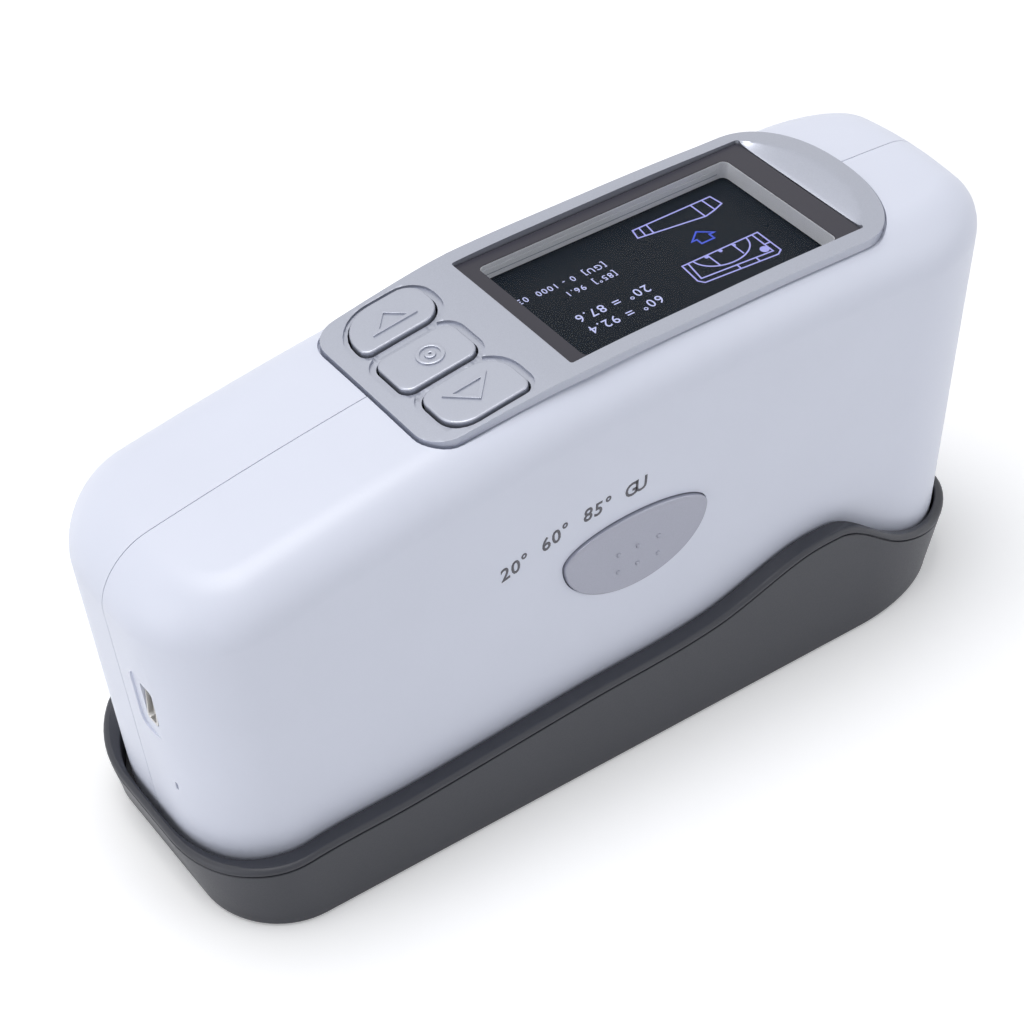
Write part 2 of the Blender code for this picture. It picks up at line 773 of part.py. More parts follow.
def test_outline(grow=0.0, middle=(0.0, 0.0)):
    points = []
    for step in range(2 * ROUND_STEPS):
        turn = math.pi * step / ROUND_STEPS
        height = TEST_RISE if math.sin(turn) > 0 else TEST_DROP
        points.append((middle[0] + (TEST_HALF + grow) * math.cos(turn),
                       middle[1] + (height + grow) * math.sin(turn)))
    return points


def test_frame():
    return side_frame(-BODY_WIDTH / 2) @ Matrix.Translation((TEST_X, TEST_Z, 0))


# Depths behind the near wall, from the outer face inwards

TEST_FLANGE_TOP = -SHELL_WALL - GAP
TEST_FLANGE_BOTTOM = TEST_FLANGE_TOP - TEST_FLANGE
TEST_STEM_END = TEST_FLANGE_BOTTOM - TEST_STEM
TEST_PLUNGER_TOP = TEST_STEM_END - TEST_TRAVEL - TEST_FREE_PLAY
TEST_SWITCH_BOTTOM = TEST_PLUNGER_TOP - SWITCH_PLUNGER - SWITCH_BODY
TEST_BOARD_FACE = TEST_SWITCH_BOTTOM - GAP
MAIN_FACE = BODY_WIDTH / 2 + SOCKET_Y - SOCKET_THICKNESS / 2 - GAP - BOARD_THICKNESS
TEST_POSTS = [(TEST_X + side * TEST_POST_X, TEST_POST_Z) for side in (-1, 1)]
MAIN_LEFT = BODY_LEFT + MAIN_END_ROOM
MAIN_RIGHT = MAIN_LEFT + MAIN_LENGTH
MAIN_POSTS = [(MAIN_LEFT + start, MAIN_POST_Z) for start in MAIN_POST_STARTS]
WALL_MERGE = SHELL_WALL * 0.6
NEAR_FRAME = side_frame(-BODY_WIDTH / 2)


def add_board_bosses(half, name, places, radius, face):
    """Bosses on the near wall that end just short of a board, with pilot holes."""
    bosses = posts(places, radius, face + GAP, -WALL_MERGE)
    boolean(half, add_cutter(name + "_bosses", *bosses, NEAR_FRAME), "UNION")
    pilots = posts(places, SMALL_SCREW_RADIUS + SCREW_PLAY, face - OVERRUN, -SHELL_WALL)
    boolean(half, add_cutter(name + "_pilots", *pilots, NEAR_FRAME))


def add_housing_front():
    half = add_housing_half("housing_front", -1)
    hole = prism(test_outline(SLIDE_GAP), -SHELL_WALL - OVERRUN, OVERRUN)
    boolean(half, add_cutter("test_button_hole", *hole, test_frame()))
    add_board_bosses(half, "test", TEST_POSTS, TEST_POST_RADIUS, TEST_BOARD_FACE)
    add_board_bosses(half, "main", MAIN_POSTS, MAIN_POST_RADIUS, -MAIN_FACE)
    tilt = math.atan(LEFT_LEAN)
    pocket = rectangle(0, POCKET_WIDTH, -POCKET_HEIGHT / 2, POCKET_HEIGHT / 2, POCKET_ROUND)
    pocket_z = SOCKET_Z - POCKET_DROP
    pocket_frame = end_frame(left_wall(pocket_z), SOCKET_Y + POCKET_EDGE_ROOM, pocket_z, tilt)
    boolean(half, add_cutter("socket_pocket", *prism(pocket, -POCKET_DEPTH, OVERRUN), pocket_frame))
    across = SOCKET_THICKNESS / 2 + GAP
    along = SOCKET_WIDTH / 2 + GAP
    slot = rectangle(-across, across, -along, along, SOCKET_WALL)
    slot_frame = end_frame(left_wall(SOCKET_Z), SOCKET_Y, SOCKET_Z)
    boolean(half, add_cutter("socket_slot", *prism(slot, -SHELL_WALL - OVERRUN, OVERRUN), slot_frame))
    width, height = RESET_SLOT
    slit = rectangle(-width / 2, width / 2, -height / 2, height / 2, width / 3)
    slit_frame = end_frame(left_wall(RESET_Z), SOCKET_Y - RESET_SHIFT, RESET_Z)
    boolean(half, add_cutter("reset_slit", *prism(slit, -SHELL_WALL - OVERRUN, OVERRUN), slit_frame))
    return half


def add_housing_screws():
    height = HOUSING_SEAT + GAP + SCREW_HEAD_HEIGHT
    for index, (x, z) in enumerate(HOUSING_POSTS, 1):
        add_screw(f"housing_screw_{index}", aim((x, height, z), (0, -1, 0)), height + HOUSING_SCREW_REACH)


# Bottom plate with the measuring aperture

def plate_holes():
    places = [(x, y) for x in (-PLATE_POST_X, PLATE_POST_X) for y in (-PLATE_POST_Y, PLATE_POST_Y)]
    return places


def optics_holes():
    return [(-OPTICS_SCREW_X, OPTICS_SCREW_Y), (OPTICS_SCREW_X, -OPTICS_SCREW_Y)]


def add_bottom_plate():
    inset = SHELL_WALL + GAP
    top = BODY_BOTTOM + PLATE_THICKNESS
    plate = add_part("bottom_plate", *loft([body_level(inset, BODY_BOTTOM), body_level(inset, top)]), DARK)
    half_length = APERTURE_LENGTH / 2
    half_width = APERTURE_WIDTH / 2
    hole = rectangle(-half_length, half_length, -half_width, half_width, APERTURE_ROUND)
    boolean(plate, add_cutter("aperture", *prism(hole, BODY_BOTTOM - OVERRUN, top + OVERRUN)))
    places = plate_holes() + optics_holes()
    shanks = posts(places, SCREW_RADIUS + SCREW_PLAY, BODY_BOTTOM - OVERRUN, top + OVERRUN)
    boolean(plate, add_cutter("plate_shanks", *shanks))
    sink = BODY_BOTTOM + SCREW_HEAD_HEIGHT + 2 * GAP
    heads = posts(places, SCREW_HEAD_RADIUS + SCREW_PLAY, BODY_BOTTOM - OVERRUN, sink)
    boolean(plate, add_cutter("plate_heads", *heads))
    reach = PLATE_THICKNESS + PLATE_POST_HEIGHT - PLATE_RIB
    for index, (x, y) in enumerate(plate_holes(), 1):
        add_screw(f"plate_screw_{index}", aim((x, y, BODY_BOTTOM + GAP), (0, 0, 1)), reach)
    for index, (x, y) in enumerate(optics_holes(), 1):
        add_screw(f"optics_screw_{index}", aim((x, y, BODY_BOTTOM + GAP), (0, 0, 1)), OPTICS_SCREW_REACH)


# Optics

def optics_ray(angle):
    """A frame at the measured spot whose local z runs up along a beam."""
    return Matrix.Translation((0, 0, BODY_BOTTOM)) @ Matrix.Rotation(math.radians(angle), 4, "Y")


def add_optics_block():
    low = PLATE_THICKNESS + GAP
    edge = math.asin(low / OPTICS_RADIUS)
    outline = []
    for step in range(2 * ROUND_STEPS + 1):
        turn = edge + (math.pi - 2 * edge) * step / (2 * ROUND_STEPS)
        outline.append((OPTICS_RADIUS * math.cos(turn), BODY_BOTTOM + OPTICS_RADIUS * math.sin(turn)))
    block = add_part("optics_block", *prism(outline, -OPTICS_HALF, OPTICS_HALF), BLACK, side_frame(0))
    inner = OPTICS_HALF - OPTICS_SIDE_WALL
    cavity = prism(circle(0, BODY_BOTTOM, OPTICS_CAVITY, 2 * ROUND_STEPS), -inner, inner)
    boolean(block, add_cutter("optics_cavity", *cavity, side_frame(0)))
    for angle, radius in zip(OPTICS_ANGLES, OPTICS_BORES):
        for side, label in ((-1, "lamp"), (1, "receiver")):
            bore = prism(circle(0, 0, radius, ROUND_STEPS), OPTICS_CAVITY * 0.8, OPTICS_RADIUS + OVERRUN)
            boolean(block, add_cutter(f"{label}_bore_{angle}", *bore, optics_ray(side * angle)))
    top = BODY_BOTTOM + OPTICS_SCREW_REACH + OVERRUN
    pilots = posts(optics_holes(), SCREW_RADIUS + SCREW_PLAY, BODY_BOTTOM, top)
    boolean(block, add_cutter("optics_pilots", *pilots))


def add_optics_tubes():
    for angle, radius, depth in zip(OPTICS_ANGLES, OPTICS_BORES, OPTICS_TUBE_DEPTHS):
        outer = radius - GAP
        inner = outer * OPTICS_TUBE_HOLLOW
        flange = radius + OPTICS_FLANGE_REACH
        front = OPTICS_RADIUS - depth
        seat = OPTICS_RADIUS + GAP
        back = seat + OPTICS_FLANGE
        profile = ((inner, front + OPTICS_TUBE_WELL), (inner, front), (outer, front), (outer, seat),
                   (flange, seat), (flange, back), (inner, back), (inner, back + OPTICS_TUBE_TAIL))
        rings = [[(x, y, z) for x, y in circle(0, 0, size, ROUND_STEPS)] for size, z in profile]
        for side, label, paint in ((-1, "lamp", STEEL), (1, "receiver", BLACK)):
            add_part(f"{label}_{angle}", *loft(rings), paint, optics_ray(side * angle))


# Silver panel and the display under it

def lens_rectangle(grow, corner):
    return rectangle(LENS_LEFT - grow, LENS_RIGHT + grow, -LENS_HALF - grow, LENS_HALF + grow, corner + grow)


COLLAR_UNDER = -LENS_THICKNESS - GAP - COLLAR_FLOOR
LCD_TOP = COLLAR_UNDER - GAP
LCD_BOTTOM = LCD_TOP - LCD_THICKNESS
DISPLAY_BOARD_TOP = LCD_BOTTOM - GAP
LCD_LEFT = WINDOW_LEFT - LCD_MARGIN
LCD_RIGHT = WINDOW_RIGHT + LCD_MARGIN
CARRIER_REACH = GAP + CARRIER_WALL
DISPLAY_POST_LEFT = LCD_LEFT - CARRIER_REACH - GAP - DISPLAY_POST_RADIUS
DISPLAY_POST_RIGHT = LCD_RIGHT + CARRIER_REACH + GAP + DISPLAY_POST_RADIUS
DISPLAY_POSTS = [(x, y) for x in (DISPLAY_POST_LEFT, DISPLAY_POST_RIGHT)
                 for y in (-DISPLAY_POST_Y, DISPLAY_POST_Y)]
KEY_FLANGE_TOP = -PANEL_THICKNESS - GAP
KEY_FLANGE_BOTTOM = KEY_FLANGE_TOP - KEY_FLANGE
KEY_STEM_END = KEY_FLANGE_BOTTOM - KEY_STEM
KEY_PLUNGER_TOP = KEY_STEM_END - KEY_TRAVEL - KEY_FREE_PLAY
KEY_SWITCH_BOTTOM = KEY_PLUNGER_TOP - SWITCH_PLUNGER - SWITCH_BODY
KEY_BOARD_TOP = KEY_SWITCH_BOTTOM - GAP
KEY_POSTS = [(KEY_POST_X, -KEY_POST_Y), (KEY_POST_X, KEY_POST_Y)]
KEY_ROWS = {
    "key_up": (-KEY_OUTER_EDGE, -KEY_MIDDLE_HALF - KEY_NEAR_SPACE),
    "key_enter": (-KEY_MIDDLE_HALF, KEY_MIDDLE_HALF),
    "key_down": (KEY_MIDDLE_HALF + KEY_FAR_SPACE, KEY_OUTER_EDGE),
}


def key_outline(name, grow=0.0):
    """Outline of a key in the key plane, round its own middle."""
    near, far = KEY_ROWS[name]
    half = (far - near) / 2 + grow
    left, right = KEY_ENDS[name]
    left -= grow
    right += grow
    corners = ((left, -half), (right, -half), (right, half), (left, half))
    return round_outline([(x, y, max(radius + grow, WELD)) for (x, y), radius in zip(corners, KEY_ROUNDS[name])])


def key_frame(name):
    near, far = KEY_ROWS[name]
    return KEY_FRAME @ Matrix.Translation((0, (near + far) / 2, 0))


def contour_outline(name):
    """Edge of the shallow recess round a key; it stays nearer on the side that faces the edge of the panel."""
    near, far = KEY_ROWS[name]
    near -= KEY_CONTOUR_OUTER if near == -KEY_OUTER_EDGE else KEY_CONTOUR
    far += KEY_CONTOUR_OUTER if far == KEY_OUTER_EDGE else KEY_CONTOUR
    left, right = KEY_ENDS[name]
    left -= KEY_CONTOUR
    right += KEY_CONTOUR
    corners = ((left, near), (right, near), (right, far), (left, far))
    return round_outline([(x, y, radius + KEY_CONTOUR) for (x, y), radius in zip(corners, KEY_ROUNDS[name])])


def add_contour_cutter():
    cutters = []
    for name in KEY_ROWS:
        contour = prism(contour_outline(name), -KEY_CONTOUR_DEPTH, OVERRUN)
        cutters.append(add_cutter(name + "_contour", *contour, KEY_FRAME))
    for other in cutters[1:]:
        boolean(cutters[0], other, "UNION")
    return cutters[0]


def add_top_panel():
    slab = sheet(lambda x: panel_top(x) - PANEL_THICKNESS, panel_top, PANEL_LEFT - OVERRUN,
                 PANEL_RIGHT + OVERRUN, BODY_WIDTH / 2, 2 * SIDE_STEPS, 1)
    panel = add_part("top_panel", *slab, SILVER)
    outline = add_cutter("panel_outline", *prism(panel_outline(), TOP_HEIGHT - TOP_CUT, ABOVE))
    boolean(panel, outline, "INTERSECT")
    bevel(panel, PANEL_CHAMFER)
    collar_grow = GAP + COLLAR_WALL
    collar = prism(lens_rectangle(collar_grow, LENS_CORNER), COLLAR_UNDER, COLLAR_RISE)
    boolean(panel, add_cutter("collar", *collar, LENS_FRAME), "UNION")
    stands = posts(DISPLAY_POSTS, DISPLAY_POST_RADIUS, DISPLAY_BOARD_TOP + GAP, -LENS_THICKNESS / 2)
    boolean(panel, add_cutter("display_stands", *stands, LENS_FRAME), "UNION")
    stands = posts(KEY_POSTS, KEY_POST_RADIUS, KEY_BOARD_TOP + GAP, -PANEL_THICKNESS / 2)
    boolean(panel, add_cutter("key_stands", *stands, KEY_FRAME), "UNION")
    pocket = prism(lens_rectangle(GAP, LENS_CORNER), -LENS_THICKNESS - GAP, TOP_CUT)
    boolean(panel, add_cutter("lens_pocket", *pocket, LENS_FRAME))
    scoop = [(LENS_RIGHT - OVERRUN, -SCOOP_HALF)]
    for step in range(2 * ROUND_STEPS + 1):
        share = step / ROUND_STEPS - 1
        bulge = (SCOOP_RIGHT - LENS_RIGHT) * (1 - share * share)
        scoop.append((LENS_RIGHT + bulge, SCOOP_HALF * share))
    scoop.append((LENS_RIGHT - OVERRUN, SCOOP_HALF))
    rise = (panel_top(SCOOP_RIGHT) - lens_height(LENS_RIGHT)) / (SCOOP_RIGHT - LENS_RIGHT)
    floor = prism(scoop, lambda x, y: lens_height(LENS_RIGHT) + (x - LENS_RIGHT) * rise, ABOVE)
    boolean(panel, add_cutter("scoop", *floor))
    window = rectangle(WINDOW_LEFT, WINDOW_RIGHT, WINDOW_NEAR, WINDOW_FAR, WINDOW_CORNER)
    window = prism(window, COLLAR_UNDER - OVERRUN, OVERRUN)
    boolean(panel, add_cutter("window", *window, LENS_FRAME))
    boolean(panel, add_contour_cutter())
    for name in KEY_ROWS:
        hole = prism(key_outline(name, SLIDE_GAP), -PANEL_THICKNESS - OVERRUN, OVERRUN)
        boolean(panel, add_cutter(name + "_hole", *hole, key_frame(name)))
    small_hole = SMALL_SCREW_RADIUS + SCREW_PLAY
    pilots = posts(DISPLAY_POSTS, small_hole, DISPLAY_BOARD_TOP, COLLAR_UNDER)
    boolean(panel, add_cutter("display_pilots", *pilots, LENS_FRAME))
    pilots = posts(KEY_POSTS, small_hole, KEY_BOARD_TOP, KEY_FLANGE_TOP)
    boolean(panel, add_cutter("key_pilots", *pilots, KEY_FRAME))


def add_display():
    lens = lens_rectangle(0.0, LENS_CORNER)
    add_part("display_lens", *prism(lens, -LENS_THICKNESS, 0.0), GLASS, LENS_FRAME)
    body = rectangle(LCD_LEFT, LCD_RIGHT, -LCD_HALF, LCD_HALF, LENS_CORNER)
    add_part("lcd_module", *prism(body, LCD_BOTTOM, LCD_TOP), SCREEN, LENS_FRAME)
    grow = CARRIER_REACH
    rim = rectangle(LCD_LEFT - grow, LCD_RIGHT + grow, -LCD_HALF - grow, LCD_HALF + grow, LENS_CORNER + grow)
    carrier = add_part("display_carrier", *prism(rim, LCD_BOTTOM, LCD_TOP), DARK, LENS_FRAME)
    bay = rectangle(LCD_LEFT - GAP, LCD_RIGHT + GAP, -LCD_HALF - GAP, LCD_HALF + GAP, LENS_CORNER + GAP)
    bay = prism(bay, LCD_BOTTOM - OVERRUN, LCD_TOP + OVERRUN)
    boolean(carrier, add_cutter("display_bay", *bay, LENS_FRAME))


# Circuit boards

def add_board(name, outline, top, frame, places):
    """A board in a frame, its upper face at the given height, screwed on from below."""
    bottom = top - BOARD_THICKNESS
    board = add_part(name, *prism(outline, bottom, top), BOARD, frame)
    holes = posts(places, SMALL_SCREW_RADIUS + SCREW_PLAY, bottom - OVERRUN, top + OVERRUN)
    boolean(board, add_cutter(name + "_holes", *holes, frame))
    head = bottom - GAP - SMALL_SCREW_HEAD_HEIGHT
    label = name.replace("_board", "_screw")
    for index, (x, y) in enumerate(places, 1):
        matrix = frame @ Matrix.Translation((x, y, head))
        add_screw(f"{label}_{index}", matrix, SMALL_SCREW_REACH, SMALL_SCREW)
    return board


def add_display_board():
    left = DISPLAY_POST_LEFT - DISPLAY_POST_RADIUS
    right = DISPLAY_POST_RIGHT + DISPLAY_POST_RADIUS
    half = DISPLAY_BOARD_HALF
    outline = rectangle(left, right, -half, half, DISPLAY_BOARD_CORNER)
    add_board("display_board", outline, DISPLAY_BOARD_TOP, LENS_FRAME, DISPLAY_POSTS)


def add_switch(name, frame, bottom):
    """A small push switch: square body with a round plunger on top."""
    half = SWITCH_SIZE / 2
    body = rectangle(-half, half, -half, half, SCREW_SLOT_WIDTH)
    switch = add_part(name, *prism(body, bottom, bottom + SWITCH_BODY), DARK, frame)
    body_top = bottom + SWITCH_BODY
    plunger = posts([(0, 0)], SWITCH_PLUNGER_RADIUS, body_top - SWITCH_BODY / 2, body_top + SWITCH_PLUNGER)
    boolean(switch, add_cutter(name + "_plunger", *plunger, frame), "UNION")


# Keys

def button_rings(outline, edge_outline, flange, stem, proud, edge, top, bottom, end):
    """Rings of a button from the end of its stem up to its rounded face."""
    levels = ((stem, end), (stem, bottom), (flange, bottom), (flange, top), (outline, top),
              (outline, proud - edge), (edge_outline, proud))
    return [[(x, y, z) for x, y in ring_points] for ring_points, z in levels]


def round_stem(outline, radius):
    """A circle with as many points as the outline, each in the direction of its point."""
    points = []
    for x, y in outline:
        length = math.hypot(x, y)
        points.append((x / length * radius, y / length * radius))
    return points


def add_keys():
    for name in KEY_ROWS:
        near, far = KEY_ROWS[name]
        outline = key_outline(name)
        half = (far - near) / 2
        reach = KEY_FLANGE_REACH
        left, right = KEY_ENDS[name]
        flange = rectangle(left - reach, right + reach, -half + KEY_FLANGE_INSET - reach,
                           half - KEY_FLANGE_INSET + reach, KEY_FLANGE_ROUND)
        if name == "key_enter":
            flange = key_outline(name, reach)
        stem = round_stem(outline, KEY_STEM_RADIUS)
        rings = button_rings(outline, key_outline(name, -KEY_EDGE), flange, stem, KEY_PROUD, KEY_EDGE,
                             KEY_FLANGE_TOP, KEY_FLANGE_BOTTOM, KEY_STEM_END)
        add_part(name, *loft(rings), SILVER, key_frame(name))
        add_switch(name.replace("key", "switch"), key_frame(name), KEY_SWITCH_BOTTOM)
    half = KEY_BOARD_HALF
    outline = rectangle(KEY_BOARD_LEFT, KEY_BOARD_RIGHT, -half, half, DISPLAY_BOARD_CORNER)
    add_board("key_board", outline, KEY_BOARD_TOP, KEY_FRAME, KEY_POSTS)


def add_test_button():
    outline = test_outline()
    rings = button_rings(outline, test_outline(-TEST_EDGE), test_outline(TEST_FLANGE_REACH),
                         round_stem(outline, TEST_STEM_RADIUS), TEST_PROUD, TEST_EDGE,
                         TEST_FLANGE_TOP, TEST_FLANGE_BOTTOM, TEST_STEM_END)
    add_part("test_button", *loft(rings), SILVER, test_frame())
    add_switch("test_switch", test_frame(), TEST_SWITCH_BOTTOM)
    left = TEST_X - TEST_BOARD_HALF
    right = TEST_X + TEST_BOARD_HALF
    outline = rectangle(left, right, TEST_BOARD_BOTTOM, TEST_BOARD_TOP, TEST_BOARD_CORNER)
    add_board("test_board", outline, TEST_BOARD_FACE, NEAR_FRAME, TEST_POSTS)


def add_main_board():
    top = TOP_HEIGHT - MAIN_TOP_ROOM
    outline = rectangle(MAIN_LEFT, MAIN_RIGHT, MAIN_BOTTOM, top, TEST_BOARD_CORNER)
    board = add_board("main_board", outline, -MAIN_FACE, NEAR_FRAME, MAIN_POSTS)
    half = CHIP_SIZE / 2
    middle_x = (MAIN_LEFT + MAIN_RIGHT) / 2
    middle_z = (top + MAIN_BOTTOM) / 2
    chip = rectangle(middle_x - half, middle_x + half, middle_z - half, middle_z + half, TEST_BOARD_CORNER)
    back = -MAIN_FACE - BOARD_THICKNESS
    chip = prism(chip, back - CHIP_HEIGHT, back + BOARD_THICKNESS / 2)
    boolean(board, add_cutter("main_chip", *chip, NEAR_FRAME), "UNION")
    mouth = left_wall(SOCKET_Z) + SOCKET_SET_BACK
    frame = end_frame(mouth, SOCKET_Y, SOCKET_Z)
    half_width = SOCKET_WIDTH / 2
    half_depth = SOCKET_THICKNESS / 2
    shell = rectangle(-half_depth, half_depth, -half_width, half_width, SOCKET_WALL * 2)
    socket = add_part("usb_socket", *prism(shell, -SOCKET_LENGTH, 0), STEEL, frame)
    wall = SOCKET_WALL
    bore = rectangle(-half_depth + wall, half_depth - wall, -half_width + wall, half_width - wall, wall)
    boolean(socket, add_cutter("socket_bore", *prism(bore, wall - SOCKET_LENGTH, OVERRUN), frame))
    half_tongue = SOCKET_TONGUE / 2
    tongue = rectangle(-half_tongue, half_tongue, -half_width + 3 * wall, half_width - 3 * wall, wall / 2)
    tongue = prism(tongue, wall / 2 - SOCKET_LENGTH, -2 * wall)
    boolean(socket, add_cutter("socket_tongue", *tongue, frame), "UNION")
    length, depth, height = RESET_SIZE
    low = back - GAP - depth
    reset = rectangle(MAIN_LEFT, MAIN_LEFT + length, RESET_Z - height / 2, RESET_Z + height / 2, SOCKET_WALL)
    add_part("reset_switch", *prism(reset, low, back - GAP), DARK, NEAR_FRAME)


def add_battery():
    half = BATTERY_LENGTH / 2
    outline = rectangle(-half, half, BATTERY_BOTTOM, BATTERY_BOTTOM + BATTERY_HEIGHT, BATTERY_ROUND)
    near = OPTICS_HALF + GAP
    battery = add_part("battery", *prism(outline, -near - BATTERY_THICKNESS, -near), BATTERY, side_frame(0))
    bevel(battery, BATTERY_ROUND, 2)


# Calibration base

def base_level(share, z_of_x, grow):
    """Ring of the outer wall: share 0 at the foot and 1 under the rim band."""
    rings = []
    foot = ring(BASE_LEFT + BASE_LEFT_DRAFT - grow, BASE_RIGHT - BASE_RIGHT_DRAFT + grow, BASE_HALF + grow,
                BASE_FOOT_CORNER, BASE_RIGHT_CORNER)
    full = ring(BASE_LEFT - grow, BASE_RIGHT + grow, BASE_HALF + grow, BASE_LEFT_CORNER, BASE_RIGHT_CORNER)
    for (x0, y0), (x1, y1) in zip(foot, full):
        x = x0 + (x1 - x0) * share
        y = y0 + (y1 - y0) * share
        rings.append((x, y, z_of_x(x1)))
    return rings


def pocket_level(z_of_x, grow=0.0):
    """Ring of the inner wall that the housing drops into."""
    points = []
    for x, y in body_ring(-BASE_SIDE_CLEARANCE - grow):
        z = z_of_x(x)
        end = (2 * x - BODY_LEFT - BODY_RIGHT) / (BODY_RIGHT - BODY_LEFT)
        clearance = BASE_LEFT_CLEARANCE if x < 0 else BASE_RIGHT_CLEARANCE
        extra = (clearance - BASE_SIDE_CLEARANCE) * end * abs(end) ** 3
        points.append((lean(x, z) + extra, y, z))
    return points


BASE_FLOOR_TOP = BODY_BOTTOM - GAP
BASE_FLOOR_UNDER = BASE_FLOOR_TOP - BASE_FLOOR
BASE_POSTS = [(x, y) for x in (-BASE_POST_X, BASE_POST_X) for y in (-BASE_POST_Y, BASE_POST_Y)]


def add_calibration_base():
    step = BASE_BAND_STEP
    foot_top = BASE_FOOT_LIFT + BASE_FOOT_CHAMFER
    levels = [
        base_level(0.0, lambda x: BASE_FOOT_LIFT, -step - BASE_FOOT_CHAMFER),
        base_level(0.05, lambda x: foot_top, -step),
        base_level(1.0, lambda x: rim_height(x) - BASE_BAND - step, -step),
        base_level(1.0, lambda x: rim_height(x) - BASE_BAND, 0.0),
        base_level(1.0, lambda x: rim_height(x) - BASE_LIP, 0.0),
        base_level(1.0, lambda x: rim_height(x) - BASE_LIP * 0.3, -BASE_LIP * 0.3),
        base_level(1.0, lambda x: rim_height(x), -BASE_LIP),
        pocket_level(rim_height, BASE_LIP_INNER),
        pocket_level(lambda x: rim_height(x) - BASE_LIP_INNER),
        pocket_level(lambda x: BASE_FLOOR_TOP),
    ]
    base = add_part("calibration_base", *loft(levels), GREY)
    cover_top = COVER_THICKNESS + GAP
    seat = base_level(0.0, lambda x: 0.0, -COVER_INSET - step + GAP)
    boolean(base, add_cutter("cover_seat", *prism([point[:2] for point in seat], -OVERRUN, cover_top)))
    hollow = base_level(0.0, lambda x: 0.0, -COVER_INSET - step - BASE_SKIRT)
    boolean(base, add_cutter("base_hollow", *prism([point[:2] for point in hollow], 0.0, BASE_FLOOR_UNDER)))
    stands = posts(BASE_POSTS, BASE_POST_RADIUS, cover_top, BASE_FLOOR_TOP - BASE_FLOOR / 2)
    boolean(base, add_cutter("base_posts", *stands), "UNION")
    pilots = posts(BASE_POSTS, SCREW_RADIUS + SCREW_PLAY, 0.0, BASE_FLOOR_UNDER + BASE_FLOOR / 2)
    boolean(base, add_cutter("base_pilots", *pilots))
    half_length = TILE_LENGTH / 2
    half_width = TILE_WIDTH / 2
    well = rectangle(-half_length - GAP, half_length + GAP, -half_width - GAP, half_width + GAP, GAP)
    boolean(base, add_cutter("tile_well", *prism(well, 0.0, BASE_FLOOR_TOP - TILE_LIP)))
    margin = TILE_MARGIN
    long = half_length - margin
    wide = half_width - margin
    window = rectangle(-long, long, -wide, wide, margin)
    boolean(base, add_cutter("tile_window", *prism(window, 0.0, BASE_FLOOR_TOP + OVERRUN)))


def add_tile():
    half_length = TILE_LENGTH / 2
    half_width = TILE_WIDTH / 2
    outline = rectangle(-half_length, half_length, -half_width, half_width, GAP)
    top = BASE_FLOOR_TOP - TILE_LIP - GAP
    add_part("standard_tile", *prism(outline, top - TILE_THICKNESS, top), TILE)
    pad_top = top - TILE_THICKNESS - GAP
    pad_bottom = COVER_THICKNESS + GAP
    add_part("tile_pad", *prism(outline, pad_bottom, pad_top), FOAM)


def add_base_cover():
    outline = base_level(0.0, lambda x: 0.0, -COVER_INSET - BASE_BAND_STEP)
    cover = add_part("base_cover", *prism([point[:2] for point in outline], 0.0, COVER_THICKNESS), DARK)
    shanks = posts(BASE_POSTS, SCREW_RADIUS + SCREW_PLAY, -OVERRUN, COVER_THICKNESS + OVERRUN)
    boolean(cover, add_cutter("cover_shanks", *shanks))
    sink = SMALL_SCREW_HEAD_HEIGHT + 2 * GAP
    heads = posts(BASE_POSTS, SCREW_HEAD_RADIUS + SCREW_PLAY, -OVERRUN, sink)
    boolean(cover, add_cutter("cover_heads", *heads))
    kind = (SCREW_RADIUS, SCREW_HEAD_RADIUS, SMALL_SCREW_HEAD_HEIGHT)
    for index, (x, y) in enumerate(BASE_POSTS, 1):
        add_screw(f"base_screw_{index}", aim((x, y, GAP), (0, 0, 1)), BASE_FLOOR_UNDER, kind)


clear_scene()
PARTS = make_collection(PART_COLLECTION)
CUTTERS = make_collection(CUTTER_COLLECTION)
WHITE = make_material("white_housing", (0.86, 0.88, 0.92), 0.0, 0.35)
GREY = make_material("dark_grey_base", (0.09, 0.095, 0.11), 0.0, 0.5)
DARK = make_material("dark_plastic", (0.03, 0.03, 0.035), 0.0, 0.5)
BLACK = make_material("black_anodised", (0.015, 0.015, 0.018), 0.3, 0.45)
SILVER = make_material("silver_paint", (0.50, 0.51, 0.55), 0.4, 0.4)
GLASS = make_material("lens_glass", (0.75, 0.78, 0.82), 0.0, 0.08, 0.9)
SCREEN = make_material("screen", (0.02, 0.03, 0.05), 0.0, 0.2)
BOARD = make_material("circuit_board", (0.02, 0.16, 0.08), 0.0, 0.4)
STEEL = make_material("bright_steel", (0.60, 0.60, 0.62), 1.0, 0.3)
TILE = make_material("black_glass", (0.01, 0.01, 0.012), 0.0, 0.03)
FOAM = make_material("grey_foam", (0.20, 0.20, 0.21), 0.0, 0.9)
BATTERY = make_material("battery_foil", (0.35, 0.37, 0.40), 0.6, 0.35)

add_calibration_base()
add_tile()
add_base_cover()
add_housing_front()
add_housing_half("housing_rear", 1)
add_housing_screws()
add_bottom_plate()
add_optics_block()
add_optics_tubes()
add_top_panel()
add_display()
add_display_board()
add_keys()
add_test_button()
add_main_board()
add_battery()
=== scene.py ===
# Tri-angle gloss meter in its calibration base: the looks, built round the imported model.
# Metres, +Z up. +X is the display end, -X the socket end, -Y the side with the test button.

import json
import math

import bmesh
import bpy
from mathutils import Matrix, Vector

